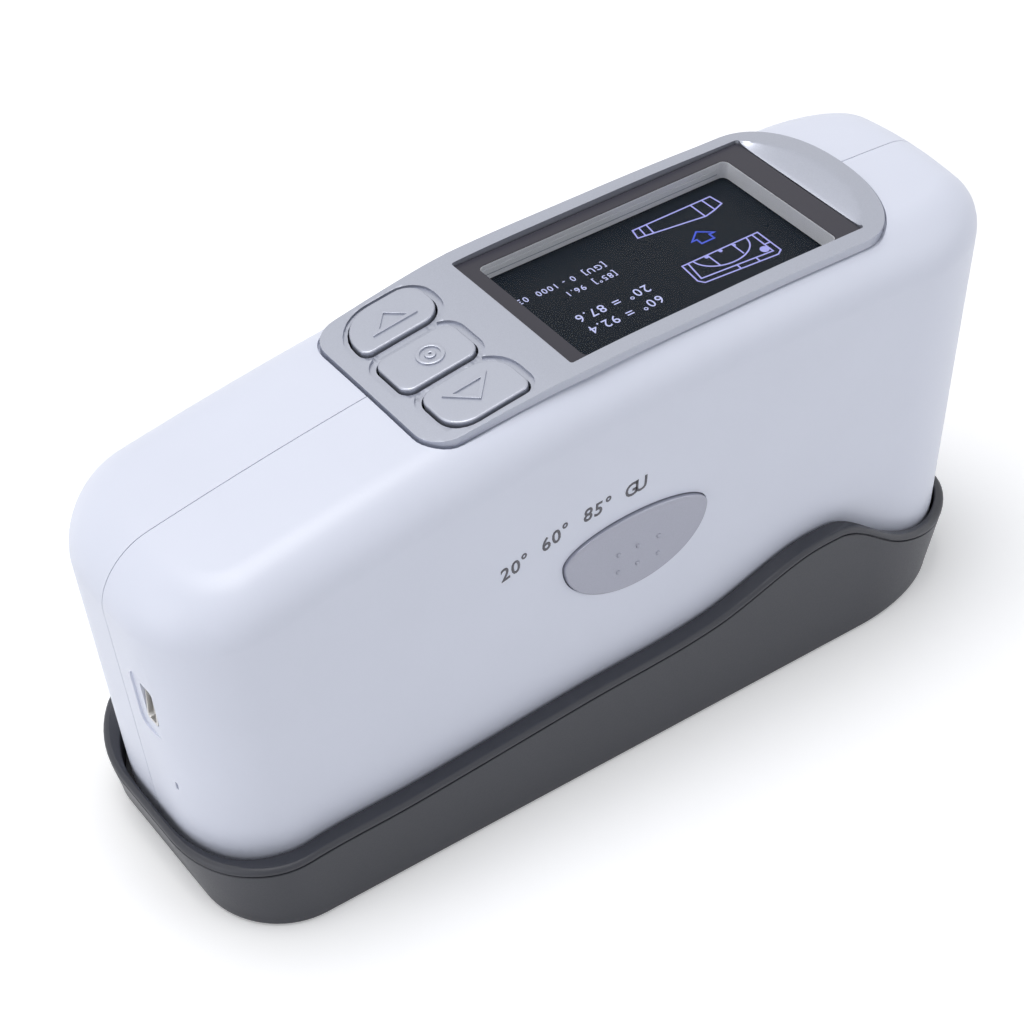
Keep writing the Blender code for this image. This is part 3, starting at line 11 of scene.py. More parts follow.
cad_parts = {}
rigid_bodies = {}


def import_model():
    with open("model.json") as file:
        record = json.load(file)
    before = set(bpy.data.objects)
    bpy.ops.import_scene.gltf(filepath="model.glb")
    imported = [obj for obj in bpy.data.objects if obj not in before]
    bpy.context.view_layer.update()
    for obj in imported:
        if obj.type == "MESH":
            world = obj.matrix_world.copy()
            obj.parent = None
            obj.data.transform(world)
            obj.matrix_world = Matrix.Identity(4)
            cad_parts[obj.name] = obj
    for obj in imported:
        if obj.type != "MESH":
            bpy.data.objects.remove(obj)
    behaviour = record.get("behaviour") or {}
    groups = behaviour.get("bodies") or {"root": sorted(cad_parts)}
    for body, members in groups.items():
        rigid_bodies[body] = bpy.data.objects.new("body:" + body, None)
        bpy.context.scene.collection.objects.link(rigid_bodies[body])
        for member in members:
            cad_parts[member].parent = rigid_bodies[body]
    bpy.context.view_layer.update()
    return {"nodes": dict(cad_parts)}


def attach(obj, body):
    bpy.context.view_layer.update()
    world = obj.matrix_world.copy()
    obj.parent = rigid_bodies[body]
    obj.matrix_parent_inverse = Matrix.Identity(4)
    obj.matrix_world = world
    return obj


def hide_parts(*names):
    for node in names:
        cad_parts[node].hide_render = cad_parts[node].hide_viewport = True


for item in list(bpy.data.objects):
    bpy.data.objects.remove(item, do_unlink=True)
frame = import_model()
NODES = frame["nodes"]

BODY = "meter"
GAP = 0.0003
WELD = 1e-6
OVERRUN = 0.002  # how far a cutter reaches past what it cuts
SKIN = 0.00002  # how far a print stands off what it lies on

# Housing
LEFT = -0.080
RIGHT = 0.081
HALF_WIDTH = 0.023
BOTTOM = 0.007
TOP_HEIGHT = 0.0806
TOP_PEAK_X = 0.0487
TOP_RADIUS = 0.535
CROWN_RADIUS = 0.600
DISPLAY_CROWN = 0.0022
CROWN_START = -0.010
CROWN_REACH = 0.056
SHOULDER = 0.0085
LEFT_CORNER = (0.0145, 0.0172)
RIGHT_CORNER = (0.0190, 0.0120)
LEFT_LEAN = 0.103
RIGHT_LEAN = 0.032
END_BOW = 0.0008
WALL = 0.0022
PARTING = 0.00014
PARTING_ROUND = 0.00012

# Calibration base
BASE_HALF = 0.0267
BASE_END_WALL = 0.0012
BASE_LEFT_CORNER = (0.0145, 0.0190)
BASE_RIGHT_CORNER = (0.026, 0.0155)
FOOT_CORNER = (0.0135, 0.0140)
LEFT_DRAFT = 0.0030
RIGHT_DRAFT = 0.0028
FOOT_LIFT = 0.0002
FOOT_ROUND = 0.0004
BAND = 0.0015
BAND_STEP = 0.0001
GROOVE = 0.00045
LIP = 0.0007
LIP_INNER = 0.0003
# (depth below the upper edge of the band, growth of the plan) of the groove under the rim
GROOVE_STEPS = (
    (0.00012, -BAND_STEP),
    (0.0, -BAND_STEP - 0.00008),
    (-0.00005, -GROOVE),
    (-0.00035, -GROOVE),
    (-0.00042, -0.0001),
    (-0.00055, 0.0),
)
WALL_LEVELS = 10
COVER_TOP = 0.0019
COVER_INSET = 0.0014
SIDE_CLEARANCE = 0.00045
LEFT_CLEARANCE = 0.0010
RIGHT_CLEARANCE = 0.0006
RIM_WAVE = (
    (-0.079, 0.0122),
    (-0.070, 0.0140),
    (-0.060, 0.0153),
    (-0.044, 0.0158),
    (-0.010, 0.0184),
    (0.017, 0.0203),
    (0.036, 0.0260),
    (0.044, 0.0266),
    (0.060, 0.0173),
    (0.071, 0.0130),
    (0.080, 0.0127),
)

# Silver panel
PANEL_LEFT = -0.0323
PANEL_RIGHT = 0.0613
PANEL_LEFT_HALF = 0.0172
PANEL_HALF = 0.0187
PANEL_BEND_X = -0.005
PANEL_END_START = 0.0505
PANEL_END_POWER = 2.3
PANEL_CORNER = 0.0052
PANEL_THICKNESS = 0.0016
PANEL_PROUD = 0.0004
PANEL_HUMP = 0.0006
PANEL_HUMP_X = -0.008
PANEL_HUMP_REACH = 0.032
PANEL_ROUND = 0.0003
PANEL_LEDGE = 0.0010
PANEL_FIT = 0.0004
PANEL_EDGE = 0.00012  # round of the edges of its openings

# Lens, window and screen, in the tilted plane of the lens
LENS_LEFT = -0.0060
LENS_RIGHT = 0.0524
LENS_HALF = 0.0158
LENS_THICKNESS = 0.0010
LENS_DROP = 0.00094
LENS_TILT = math.radians(1.0)
LENS_CORNER = 0.0005
LENS_RISE = 0.00015
LENS_END_RISE = 0.0003
LENS_PRINT = 0.00015
LENS_PANE = 0.0004
LENS_EDGE = 0.00004
SCOOP_RIGHT = 0.0583
SCOOP_HALF = 0.0154
SCOOP_LEAD = 0.0002  # how far it starts inside the lens
SCOOP_END = 0.0003  # its reach at its two tips
SCOOP_POWER = 2.3
SCOOP_STRAIGHT = 0.8  # share of its profile that is straight; the rest is hollow
SCOOP_PAST = 0.0008
SCOOP_LEAST_RISE = 0.00012
WINDOW = (-0.0029, 0.0477, -0.0152, 0.0133)
WINDOW_CORNER = 0.0012
WINDOW_WALL = 0.0008
WINDOW_NEAR_WALL = 0.0003
WINDOW_INSET = 0.00005
WALL_ROUND = 0.00012
WALL_GROOVE = 0.00018
WALL_GROOVE_WIDTH = 0.00022
WALL_GROOVE_DEPTHS = (0.0008, 0.0019)
WALL_GROOVE_ENDS = (0.001, 0.0015)
COLLAR_WALL = 0.0009
COLLAR_RISE = 0.0001
COLLAR_UNDER = -LENS_THICKNESS - GAP - 0.0016
SCREEN_TOP = COLLAR_UNDER - GAP

# Keys, in the tilted plane of the key area
KEY_X = -0.0210
KEY_PROUD = 0.0003
KEY_ROUND = 0.0003
KEY_PLANE_HALF = 0.0079
KEY_OUTER_EDGE = 0.0162
KEY_ROWS = {  # near and far edge
    "key_up": (-0.0162, -0.0062),
    "key_enter": (-0.0045, 0.0045),
    "key_down": (0.0069, 0.0162),
}
KEY_ENDS = {  # left and right edge
    "key_up": (-0.0069, 0.0076),
    "key_enter": (-0.0077, 0.0065),
    "key_down": (-0.0075, 0.0076),
}
KEY_ROUNDS = {
    "key_up": (0.0042, 0.0018, 0.0048, 0.0026),
    "key_enter": (0.0020, 0.0024, 0.0024, 0.0020),
    "key_down": (0.0016, 0.0040, 0.0034, 0.0068),
}
KEY_DEPTH = 0.0018
SLIDE_GAP = 0.00035
CONTOUR = 0.0014
CONTOUR_OUTER = 0.0007
CONTOUR_DEPTH = 0.00050
CONTOUR_STAGGER = 0.00001  # so that no two of the recesses share a floor
MARK_WIDE = 0.0034
MARK_HIGH = 0.0018
MARK_RING = 0.0020
MARK_DOT = 0.0006
MARK_STROKE = 0.0007
MARK_RISE = 0.00030
MARK_ROUND = 0.00008

# Test button on the near side
TEST_X = 0.0019
TEST_Z = 0.0454
TEST_HALF = 0.0143
TEST_RISE = 0.0048
TEST_DROP = 0.0102
TEST_PROUD = 0.0007
TEST_ROUND = 0.0003
TEST_GAP = 0.00018
TEST_DOTS = [(x, z) for x in (-0.0019, 0.0020, 0.0062) for z in (0.0433, 0.0396)]
TEST_DOT_RADIUS = 0.00042
TEST_DOT_RISE = 0.00036

# Print on the near side, along a line of points in millimetres
SIDE_TEXT = "20\u00b0 60\u00b0 85\u00b0 GU"
SIDE_ARC = ((-24.5, 48.8), (-20.8, 49.7), (-15.0, 51.4), (-9.3, 53.0), (-3.4, 53.5), (3.2, 54.3))
SIDE_HEIGHT = 0.0026
SIDE_SHEAR = 0.15
SIDE_BOLD = 0.00006

# Socket end
POCKET_EDGE_Y = -0.0038
POCKET_Z = 0.0410
POCKET_DEPTH = 0.0004
POCKET_WIDTH = 0.0160
POCKET_HEIGHT = 0.0124
POCKET_ROUND = 0.0020
SOCKET_Y = -0.0076
SOCKET_Z = 0.0415
SOCKET_ACROSS = 0.0017
SOCKET_ALONG = 0.0038
SOCKET_ROUNDNESS = 0.4
MOUTH_GAP = 0.00012
MOUTH_WALL = 0.00035
MOUTH_BEHIND = 0.0010
MOUTH_RECESS = 0.00025
MOUTH_ROUND = 0.00006
TONGUE_BEHIND = 0.0005
TONGUE_RECESS = 0.0009
RESET_Y = -0.0096
RESET_Z = 0.0244
RESET_SLOT = (0.0006, 0.0016)
HOUSING_POSTS = ((-0.0625, 0.0195), (-0.0625, 0.0561), (0.0625, 0.0195), (0.0625, 0.0561))
COUNTERBORE = 0.0024
WELL_WALL = 0.0006
SCREW_SEAT = 0.0040

# Screen graphics
STROKE = 0.00026
INK_THICK = 0.00004
CAPITAL_SHARE = 0.729  # height of a capital as a share of the size of the font
SCREEN_SHIFT = (0.00025, 0.00037)

# Floor, lamps, world and camera
FLOOR_REACH = 3.0
FLOOR_DROP = 0.0001
FLOOR_COLOUR = (0.96, 0.96, 0.96, 1)
FLOOR_GLOW_NEAR = (0.45, 0.24)  # distance, strength
FLOOR_GLOW_FAR = (1.5, 0.60)
LAMPS = (  # name, place, target, size, watts, colour
    ("top_light", (-0.15, 0.15, 1.0), (0, 0, 0.04), (0.6, 0.6), 5.3, (1.0, 0.99, 0.98)),
    ("left_light", (-0.95, 0.15, 0.25), (0, 0, 0.03), (0.5, 0.8), 1.9, (0.95, 0.97, 1.0)),
    ("fill_light", (0.65, -0.65, 0.40), (0.04, 0, 0.04), (0.6, 0.6), 1.2, (0.95, 0.97, 1.0)),
)
WORLD_COLOUR = (0.93, 0.95, 1.0, 1)
WORLD_STRENGTH = 0.42
CAMERA_PLACE = (-0.1883, -0.2532, 0.3081)
CAMERA_AZIMUTH = math.radians(-35.8)
CAMERA_ELEVATION = math.radians(40.9)
CAMERA_LENS = 87.89
CAMERA_SENSOR = 36
CAMERA_CLIP = 0.01

# Mesh fineness
CORNER_STEPS = 18
SIDE_STEPS = 70
END_STEPS = 6
SHOULDER_STEPS = 14
CROWN_STEPS = 6
OUTLINE_STEPS = 8


# Node materials

def new_material(name):
    material = bpy.data.materials.new(name)
    material.use_nodes = True
    tree = material.node_tree
    shader = tree.nodes["Principled BSDF"]
    return material, tree, shader


def put(node, **values):
    """Sets sockets, each named here in lower case."""
    for key, value in values.items():
        node.inputs[key.replace("_", " ").title()].default_value = value


def add_node(tree, kind, **values):
    node = tree.nodes.new(kind)
    for key, value in values.items():
        if hasattr(node, key):
            setattr(node, key, value)
        else:
            put(node, **{key: value})
    return node


def noise(tree, scale, detail=2.0, roughness=0.5):
    """Noise in metres of the object's own space; scale is in features per metre."""
    place = add_node(tree, "ShaderNodeTexCoord")
    grain = add_node(tree, "ShaderNodeTexNoise", scale=scale, detail=detail, roughness=roughness)
    tree.links.new(place.outputs["Object"], grain.inputs["Vector"])
    return grain.outputs["Fac"]


def spread(tree, value, low, high, source_low=0.3, source_high=0.7):
    """Maps a value, by default the middle of a noise, to the range from low to high."""
    node = add_node(tree, "ShaderNodeMapRange")
    put(node, from_min=source_low, from_max=source_high, to_min=low, to_max=high)
    tree.links.new(value, node.inputs["Value"])
    return node.outputs["Result"]


def shades(colour, change):
    """The colour made darker and lighter by a share."""
    return (tuple(channel * (1 - change) for channel in colour),
            tuple(min(1, channel * (1 + change)) for channel in colour))


def relief(tree, shader, height, strength, distance):
    bump = add_node(tree, "ShaderNodeBump", strength=strength, distance=distance)
    tree.links.new(height, bump.inputs["Height"])
    tree.links.new(bump.outputs["Normal"], shader.inputs["Normal"])


def seen_by(tree, *rays):
    """1 for the named kinds of ray and 0 for others."""
    path = tree.nodes.new("ShaderNodeLightPath")
    value = path.outputs[rays[0]]
    for ray in rays[1:]:
        either = add_node(tree, "ShaderNodeMath", operation="MAXIMUM")
        tree.links.new(value, either.inputs[0])
        tree.links.new(path.outputs[ray], either.inputs[1])
        value = either.outputs["Value"]
    return value


def tint(tree, value, first, second):
    node = tree.nodes.new("ShaderNodeMix")
    node.data_type = "RGBA"
    node.inputs["A"].default_value = (*first, 1)
    node.inputs["B"].default_value = (*second, 1)
    tree.links.new(value, node.inputs["Factor"])
    return node.outputs["Result"]


def grained(name, colour, rough, grain, bump, mottle=0.02, metallic=0.0, rough_spread=0.04, specular=0.5):
    """A moulded or painted finish: a fine grain in the surface and the gloss, a slow mottle in the colour."""
    material, tree, shader = new_material(name)
    slow = noise(tree, 60, 3)
    fine = noise(tree, grain, 2)
    tree.links.new(tint(tree, spread(tree, slow, 0, 1), *shades(colour, mottle)), shader.inputs["Base Color"])
    tree.links.new(spread(tree, fine, rough - rough_spread, rough + rough_spread), shader.inputs["Roughness"])
    relief(tree, shader, fine, bump, 0.00004)
    put(shader, metallic=metallic)
    shader.inputs["Specular IOR Level"].default_value = specular
    return material


def flaked(name, colour, rough, sparkle, metallic=0.55):
    """Metallic paint: tiny flakes of differing brightness over a fine orange peel."""
    material, tree, shader = new_material(name)
    place = add_node(tree, "ShaderNodeTexCoord")
    flakes = add_node(tree, "ShaderNodeTexVoronoi", scale=13000.0)
    tree.links.new(place.outputs["Object"], flakes.inputs["Vector"])
    split = tree.nodes.new("ShaderNodeSeparateColor")
    tree.links.new(flakes.outputs["Color"], split.inputs["Color"])
    tree.links.new(tint(tree, split.outputs["Red"], *shades(colour, sparkle)), shader.inputs["Base Color"])
    gloss = spread(tree, split.outputs["Green"], rough - 0.03, rough + 0.03, 0, 1)
    tree.links.new(gloss, shader.inputs["Roughness"])
    relief(tree, shader, noise(tree, 2600, 2), 0.15, 0.00002)
    put(shader, metallic=metallic)
    return material


def glowing(name, colour):
    """A lit line of the screen."""
    material, tree, shader = new_material(name)
    fine = noise(tree, 9000, 1)
    soft = shades(colour, 0.1)[0]
    tree.links.new(tint(tree, spread(tree, fine, 0, 1), soft, colour), shader.inputs["Emission Color"])
    put(shader, base_color=(0, 0, 0, 1), emission_strength=1.0, roughness=0.4)
    return material


def clear_glass(name):
    """A thin clear pane: nearly all of it lets the light straight through."""
    material, tree, shader = new_material(name)
    haze = noise(tree, 300, 2)
    tree.links.new(spread(tree, haze, 0.015, 0.035), shader.inputs["Roughness"])
    put(shader, base_color=(0.02, 0.03, 0.05, 1), alpha=0.04)
    return material


def brushed(name, colour, rough):
    """Bare metal with a fine grain in its colour and gloss."""
    material, tree, shader = new_material(name)
    fine = noise(tree, 4000, 3)
    dark = shades(colour, 0.1)[0]
    tree.links.new(tint(tree, spread(tree, fine, 0, 1), dark, colour), shader.inputs["Base Color"])
    tree.links.new(spread(tree, fine, rough - 0.06, rough + 0.06), shader.inputs["Roughness"])
    put(shader, metallic=1.0)
    return material


WHITE = grained("white_housing", (0.76, 0.79, 0.90), 0.36, 2600, 0.10, 0.008)
GREY = grained("dark_grey_base", (0.036, 0.038, 0.049), 0.42, 3600, 0.35, 0.03)
DARK = grained("dark_plastic", (0.022, 0.022, 0.026), 0.5, 3000, 0.3, 0.05)
SILVER = flaked("silver_paint", (0.43, 0.45, 0.52), 0.34, 0.05, 0.65)
KEY_SILVER = flaked("silver_key", (0.44, 0.46, 0.53), 0.34, 0.04, 0.65)
TEST_SILVER = flaked("silver_test_button", (0.375, 0.385, 0.455), 0.36, 0.05)
# Painted light: a paler, less metallic silver for the walls of the window under the lens. It stands in for the
# light that barely reaches them.
WINDOW_SILVER_PAINTED_LIGHT = flaked("silver_window_wall_painted_light", (0.90, 0.91, 0.94), 0.40, 0.03, 0.1)
BORDER = grained("lens_border", (0.038, 0.036, 0.049), 0.30, 3000, 0.0, 0.02, rough_spread=0.01,
                 specular=0.3)
GLASS = clear_glass("lens_glass")
SCREEN = grained("screen", (0.006, 0.010, 0.016), 0.30, 3000, 0.0, 0.02, specular=0.08)
LINE = glowing("screen_line", (0.40, 0.41, 0.90))
WORDS = glowing("screen_text", (0.58, 0.62, 0.98))
ARROW = glowing("screen_arrow", (0.04, 0.09, 0.72))
INK = grained("grey_ink", (0.12, 0.12, 0.14), 0.45, 3000, 0.1, 0.02)
TIN = brushed("tinned_steel", (0.70, 0.69, 0.68), 0.42)
STEEL = brushed("bright_steel", (0.42, 0.42, 0.45), 0.28)
BOARD = grained("circuit_board", (0.02, 0.13, 0.07), 0.35, 2500, 0.2, 0.06)
TILE = grained("black_glass", (0.008, 0.008, 0.010), 0.04, 500, 0.01, 0.02)
FOAM = grained("grey_foam", (0.16, 0.16, 0.17), 0.9, 1800, 0.9, 0.08)
FOIL = brushed("battery_foil", (0.35, 0.37, 0.40), 0.35)
BLACK = grained("black_anodised", (0.012, 0.012, 0.014), 0.4, 3500, 0.2, 0.05, metallic=0.3)


# Mesh helpers

def new_object(name, data):
    item = bpy.data.objects.new(name, data)
    bpy.context.scene.collection.objects.link(item)
    return item


def make_piece(name, points, faces, material, body=BODY, matrix=None):
    """A mesh object that rides on a body; without a material it is a cutter."""
    mesh = bpy.data.meshes.new(name)
    mesh.from_pydata([tuple(point) for point in points], [], faces)
    work = bmesh.new()
    work.from_mesh(mesh)
    bmesh.ops.remove_doubles(work, verts=work.verts, dist=WELD)
    bmesh.ops.recalc_face_normals(work, faces=work.faces)
    for face in work.faces:
        face.smooth = True
    work.to_mesh(mesh)
    work.free()
    item = new_object(name, mesh)
    if matrix is not None:
        item.matrix_world = matrix
    if material is not None:
        mesh.materials.append(material)
        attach(item, body)
    return item


def settle(item):
    """Turns the modifiers of an object into its mesh, with one finish all over."""
    graph = bpy.context.evaluated_depsgraph_get()
    mesh = bpy.data.meshes.new_from_object(item.evaluated_get(graph))
    while len(mesh.materials) > 1:
        mesh.materials.pop(index=len(mesh.materials) - 1)
    for face in mesh.polygons:
        face.material_index = 0
    item.modifiers.clear()
    item.data = mesh


def combine(target, tool, operation="DIFFERENCE"):
    change = target.modifiers.new("combine", "BOOLEAN")
    change.operation = operation
    change.solver = "MANIFOLD"
    change.object = tool
    settle(target)
    bpy.data.objects.remove(tool, do_unlink=True)


def carve(target, solids, matrix=None, operation="DIFFERENCE"):
    combine(target, make_piece("tool", *merge(*solids), None, matrix=matrix), operation)


def round_edges(target, width, segments=3, angle=40):
    change = target.modifiers.new("round", "BEVEL")
    change.width = width
    change.segments = segments
    change.limit_method = "ANGLE"
    change.angle_limit = math.radians(angle)
    change.use_clamp_overlap = True
    settle(target)


def even_shading(target, angle=32):
    """Smooth faces, sharp edges past the angle, and normals that follow the large faces."""
    for face in target.data.polygons:
        face.use_smooth = True
    target.data.set_sharp_from_angle(angle=math.radians(angle))
    change = target.modifiers.new("shading", "WEIGHTED_NORMAL")
    change.keep_sharp = True
    change.weight = 80


def round_outline(corners, steps=OUTLINE_STEPS):
    """Points of a closed outline from (x, y, radius) corners, counter-clockwise."""
    points = []
    count = len(corners)
    for index, (x, y, radius) in enumerate(corners):
        here = Vector((x, y))
        back = (Vector(corners[index - 1][:2]) - here).normalized()
        ahead = (Vector(corners[(index + 1) % count][:2]) - here).normalized()
        opening = back.angle(ahead)
        reach = radius / math.tan(opening / 2)
        middle = here + (back + ahead).normalized() * radius / math.sin(opening / 2)
        first = here + back * reach - middle
        last = here + ahead * reach - middle
        start = math.atan2(first.y, first.x)
        turn = math.atan2(last.y, last.x) - start
        turn = (turn + math.pi) % (2 * math.pi) - math.pi
        count_here = max(1, round(abs(turn) / (math.pi / 2) * steps))
        for step in range(count_here + 1):
            angle = start + turn * step / count_here
            points.append((middle.x + radius * math.cos(angle), middle.y + radius * math.sin(angle)))
    return points


def rectangle(left, right, near, far, radius):
    corners = ((left, near), (right, near), (right, far), (left, far))
    return round_outline([(x, y, radius) for x, y in corners])


def circle(x, y, radius, steps=32):
    turns = [2 * math.pi * step / steps for step in range(steps)]
    return [(x + radius * math.cos(turn), y + radius * math.sin(turn)) for turn in turns]


def prism(outline, low, high):
    """An upright solid over an outline; low and high are heights, or functions of x and y."""
    count = len(outline)
    points = []
    for height in (low, high):
        for x, y in outline:
            points.append((x, y, height(x, y) if callable(height) else height))
    faces = [list(range(count))[::-1], list(range(count, 2 * count))]
    for index in range(count):
        after = (index + 1) % count
        faces.append([index, after, count + after, count + index])
    return points, faces


def loft(rings, closed=True):
    """Faces between rings of points, with closed rings and both ends filled, or an open sheet."""
    count = len(rings[0])
    points = [point for ring_points in rings for point in ring_points]
    faces = []
    for level in range(len(rings) - 1):
        base = level * count
        for index in range(count if closed else count - 1):
            after = (index + 1) % count
            faces.append([base + index, base + after, base + count + after, base + count + index])
    if closed:
        faces.append(list(range(count))[::-1])
        faces.append([(len(rings) - 1) * count + index for index in range(count)])
    return points, faces


def merge(*solids):
    points = []
    faces = []
    for more_points, more_faces in solids:
        start = len(points)
        points.extend(more_points)
        faces.extend([[start + index for index in face] for face in more_faces])
    return points, faces


def sheet(low, high, left, right, half, steps, rows):
    """A slab between two height functions of x and y, over a rectangle."""
    points = []
    for surface in (low, high):
        for column in range(steps + 1):
            x = left + (right - left) * column / steps
            for row in range(rows + 1):
                y = -half + 2 * half * row / rows
                points.append((x, y, surface(x, y)))
    layer = (steps + 1) * (rows + 1)
    faces = []
    for column in range(steps):
        for row in range(rows):
            corner = column * (rows + 1) + row
            quad = [corner, corner + 1, corner + rows + 2, corner + rows + 1]
            faces.append(quad)
            faces.append([layer + index for index in quad[::-1]])
    rim = [column * (rows + 1) for column in range(steps + 1)]
    rim += [steps * (rows + 1) + row for row in range(1, rows + 1)]
    rim += [column * (rows + 1) + rows for column in range(steps - 1, -1, -1)]
    rim += list(range(rows - 1, 0, -1))
    for index, corner in enumerate(rim):
        after = rim[(index + 1) % len(rim)]
        faces.append([corner, after, layer + after, layer + corner])
    return points, faces


# Frames

def side_frame(y):
    """Local x and y become world x and z, and local z runs out towards world -Y."""
    return Matrix.Translation((0, y, 0)) @ Matrix.Rotation(math.pi / 2, 4, "X")


def end_frame(x, y, z, tilt=0.0):
    """Local x runs to world -Y, local y up, and local z out towards world -X."""
    turn = Matrix(((0, 0, -1, 0), (-1, 0, 0, 0), (0, 1, 0, 0), (0, 0, 0, 1)))
    return Matrix.Translation((x, y, z)) @ Matrix.Rotation(-tilt, 4, "Y") @ turn


# Surfaces

def arch(x):
    """Crest of the housing."""
    return TOP_HEIGHT - (x - TOP_PEAK_X) ** 2 / (2 * TOP_RADIUS)


def hump(x):
    """Rise of the panel over the keys."""
    away = (x - PANEL_HUMP_X) / PANEL_HUMP_REACH
    return 0.0 if abs(away) >= 1 else PANEL_HUMP * math.cos(away * math.pi / 2) ** 2


def panel_top(x):
    return arch(x) + PANEL_PROUD + hump(x)


def lens_height(x):
    return panel_top(LENS_LEFT) - LENS_DROP + (x - LENS_LEFT) * math.tan(LENS_TILT)


LENS_FRAME = Matrix.Translation((0, 0, lens_height(0))) @ Matrix.Rotation(-LENS_TILT, 4, "Y")

KEY_RISE = panel_top(KEY_X + KEY_PLANE_HALF) - panel_top(KEY_X - KEY_PLANE_HALF)
KEY_TILT = math.atan(KEY_RISE / (2 * KEY_PLANE_HALF))
KEY_FRAME = Matrix.Translation((KEY_X, 0, panel_top(KEY_X))) @ Matrix.Rotation(-KEY_TILT, 4, "Y")


def half_ring(left, right, half_width, left_corner, right_corner, bow=0.0):
    """Plan points from the right end over the +Y side to the left end."""
    right_x, right_y = right_corner
    left_x, left_y = left_corner
    points = []

    def corner(middle_x, reach_x, reach_y, quarter_turns):
        for step in range(CORNER_STEPS):
            turn = math.pi / 2 * (quarter_turns + step / CORNER_STEPS)
            points.append((middle_x + reach_x * math.cos(turn),
                           half_width - reach_y + reach_y * math.sin(turn)))

    for step in range(END_STEPS):
        points.append((right, (half_width - right_y) * step / END_STEPS))
    corner(right - right_x, right_x, right_y, 0)
    for step in range(SIDE_STEPS):
        share = step / SIDE_STEPS
        points.append(((right - right_x) * (1 - share) + (left + left_x) * share, half_width))
    corner(left + left_x, left_x, left_y, 1)
    for step in range(END_STEPS + 1):
        points.append((left, (half_width - left_y) * (1 - step / END_STEPS)))
    bowed = []
    for x, y in points:
        end = (x - (left + right) / 2) / ((right - left) / 2)
        bowed.append((x - bow * end * abs(end) * (y / half_width) ** 2, y))
    return bowed


def full_ring(upper):
    return upper + [(x, -y) for x, y in upper[-2:0:-1]]


def body_half(inset):
    corners = [(reach_x - inset, reach_y - inset) for reach_x, reach_y in (LEFT_CORNER, RIGHT_CORNER)]
    return half_ring(LEFT + inset, RIGHT - inset, HALF_WIDTH - inset, *corners, END_BOW)


def lean(x, z):
    """x drawn in towards the middle below the shoulder, as the two ends lean."""
    drop = arch(x) - SHOULDER - z
    if drop <= 0:
        return x
    if x < 0:
        return x + LEFT_LEAN * drop * (x / LEFT)
    return x - RIGHT_LEAN * drop * (x / RIGHT)


def side_fall(x, y):
    """Extra fall of the top towards the long sides, growing over the display."""
    share = min(1.0, max(0.0, (x - CROWN_START) / CROWN_REACH))
    return DISPLAY_CROWN * share * (y / HALF_WIDTH) ** 2


def panel_face(x, y):
    return panel_top(x) - side_fall(x, y)


def top_surface(x, y, inset):
    drop = 0.0
    if inset < SHOULDER:
        drop = SHOULDER - math.sqrt(SHOULDER ** 2 - (SHOULDER - inset) ** 2)
    return arch(x) - y ** 2 / (2 * CROWN_RADIUS) - side_fall(x, y) - drop


def rim_slope(index):
    if index in (0, len(RIM_WAVE) - 1):
        return 0.0
    before, here, after = RIM_WAVE[index - 1:index + 2]
    if (here[1] - before[1]) * (after[1] - here[1]) <= 0:
        return 0.0
    return (after[1] - before[1]) / (after[0] - before[0])


def rim_height(x):
    """Height of the wavy rim of the base, smooth between its named points."""
    if x <= RIM_WAVE[0][0]:
        return RIM_WAVE[0][1]
    for index in range(len(RIM_WAVE) - 1):
        (x0, z0), (x1, z1) = RIM_WAVE[index:index + 2]
        if x <= x1:
            span = x1 - x0
            share = (x - x0) / span
            square = share * share
            cube = square * share
            return ((2 * cube - 3 * square + 1) * z0
                    + (cube - 2 * square + share) * span * rim_slope(index)
                    + (3 * square - 2 * cube) * z1 + (cube - square) * span * rim_slope(index + 1))
    return RIM_WAVE[-1][1]


def panel_outline(grow=0.0, steps=40):
    left = PANEL_LEFT - grow
    side = PANEL_HALF + grow
    end = PANEL_RIGHT - PANEL_END_START + grow
    corner = PANEL_CORNER + grow
    near = [(PANEL_BEND_X, -side), (PANEL_END_START, -side)]
    for step in range(1, steps):
        turn = math.pi / 2 * step / steps
        across = math.sin(turn) ** (2 / PANEL_END_POWER)
        along = math.cos(turn) ** (2 / PANEL_END_POWER)
        near.append((PANEL_END_START + end * across, -side * along))
    near.append((PANEL_RIGHT + grow, 0.0))
    far = [(x, -y) for x, y in near[-2::-1]]
    left_half = PANEL_LEFT_HALF + grow
    corner_points = round_outline(((left, -left_half, corner), (PANEL_BEND_X, -side, WELD),
                                   (PANEL_BEND_X, side, WELD), (left, left_half, corner)))
    arcs = [point for point in corner_points if point[0] < PANEL_LEFT + corner * 1.5]
    return [p for p in arcs if p[1] < 0] + near + far + [p for p in arcs if p[1] > 0]


def test_outline(grow=0.0, steps=48):
    points = []
    for step in range(2 * steps):
        turn = math.pi * step / steps
        height = TEST_RISE if math.sin(turn) > 0 else TEST_DROP
        points.append(((TEST_HALF + grow) * math.cos(turn), (height + grow) * math.sin(turn)))
    return points


TEST_FRAME = side_frame(-HALF_WIDTH) @ Matrix.Translation((TEST_X, TEST_Z, 0))


def key_outline(name, grow=0.0):
    near, far = KEY_ROWS[name]
    half = (far - near) / 2 + grow
    left, right = KEY_ENDS[name]
    left -= grow
    right += grow
    corners = ((left, -half), (right, -half), (right, half), (left, half))
    return round_outline([(x, y, max(radius + grow, WELD))
                          for (x, y), radius in zip(corners, KEY_ROUNDS[name])])


def contour_outline(name):
    """Edge of the shallow recess round a key, in the key plane."""
    near, far = KEY_ROWS[name]
    near -= CONTOUR_OUTER if near == -KEY_OUTER_EDGE else CONTOUR
    far += CONTOUR_OUTER if far == KEY_OUTER_EDGE else CONTOUR
    left, right = KEY_ENDS[name]
    left -= CONTOUR
    right += CONTOUR
    corners = ((left, near), (right, near), (right, far), (left, far))
    return round_outline([(x, y, radius + CONTOUR) for (x, y), radius in zip(corners, KEY_ROUNDS[name])])


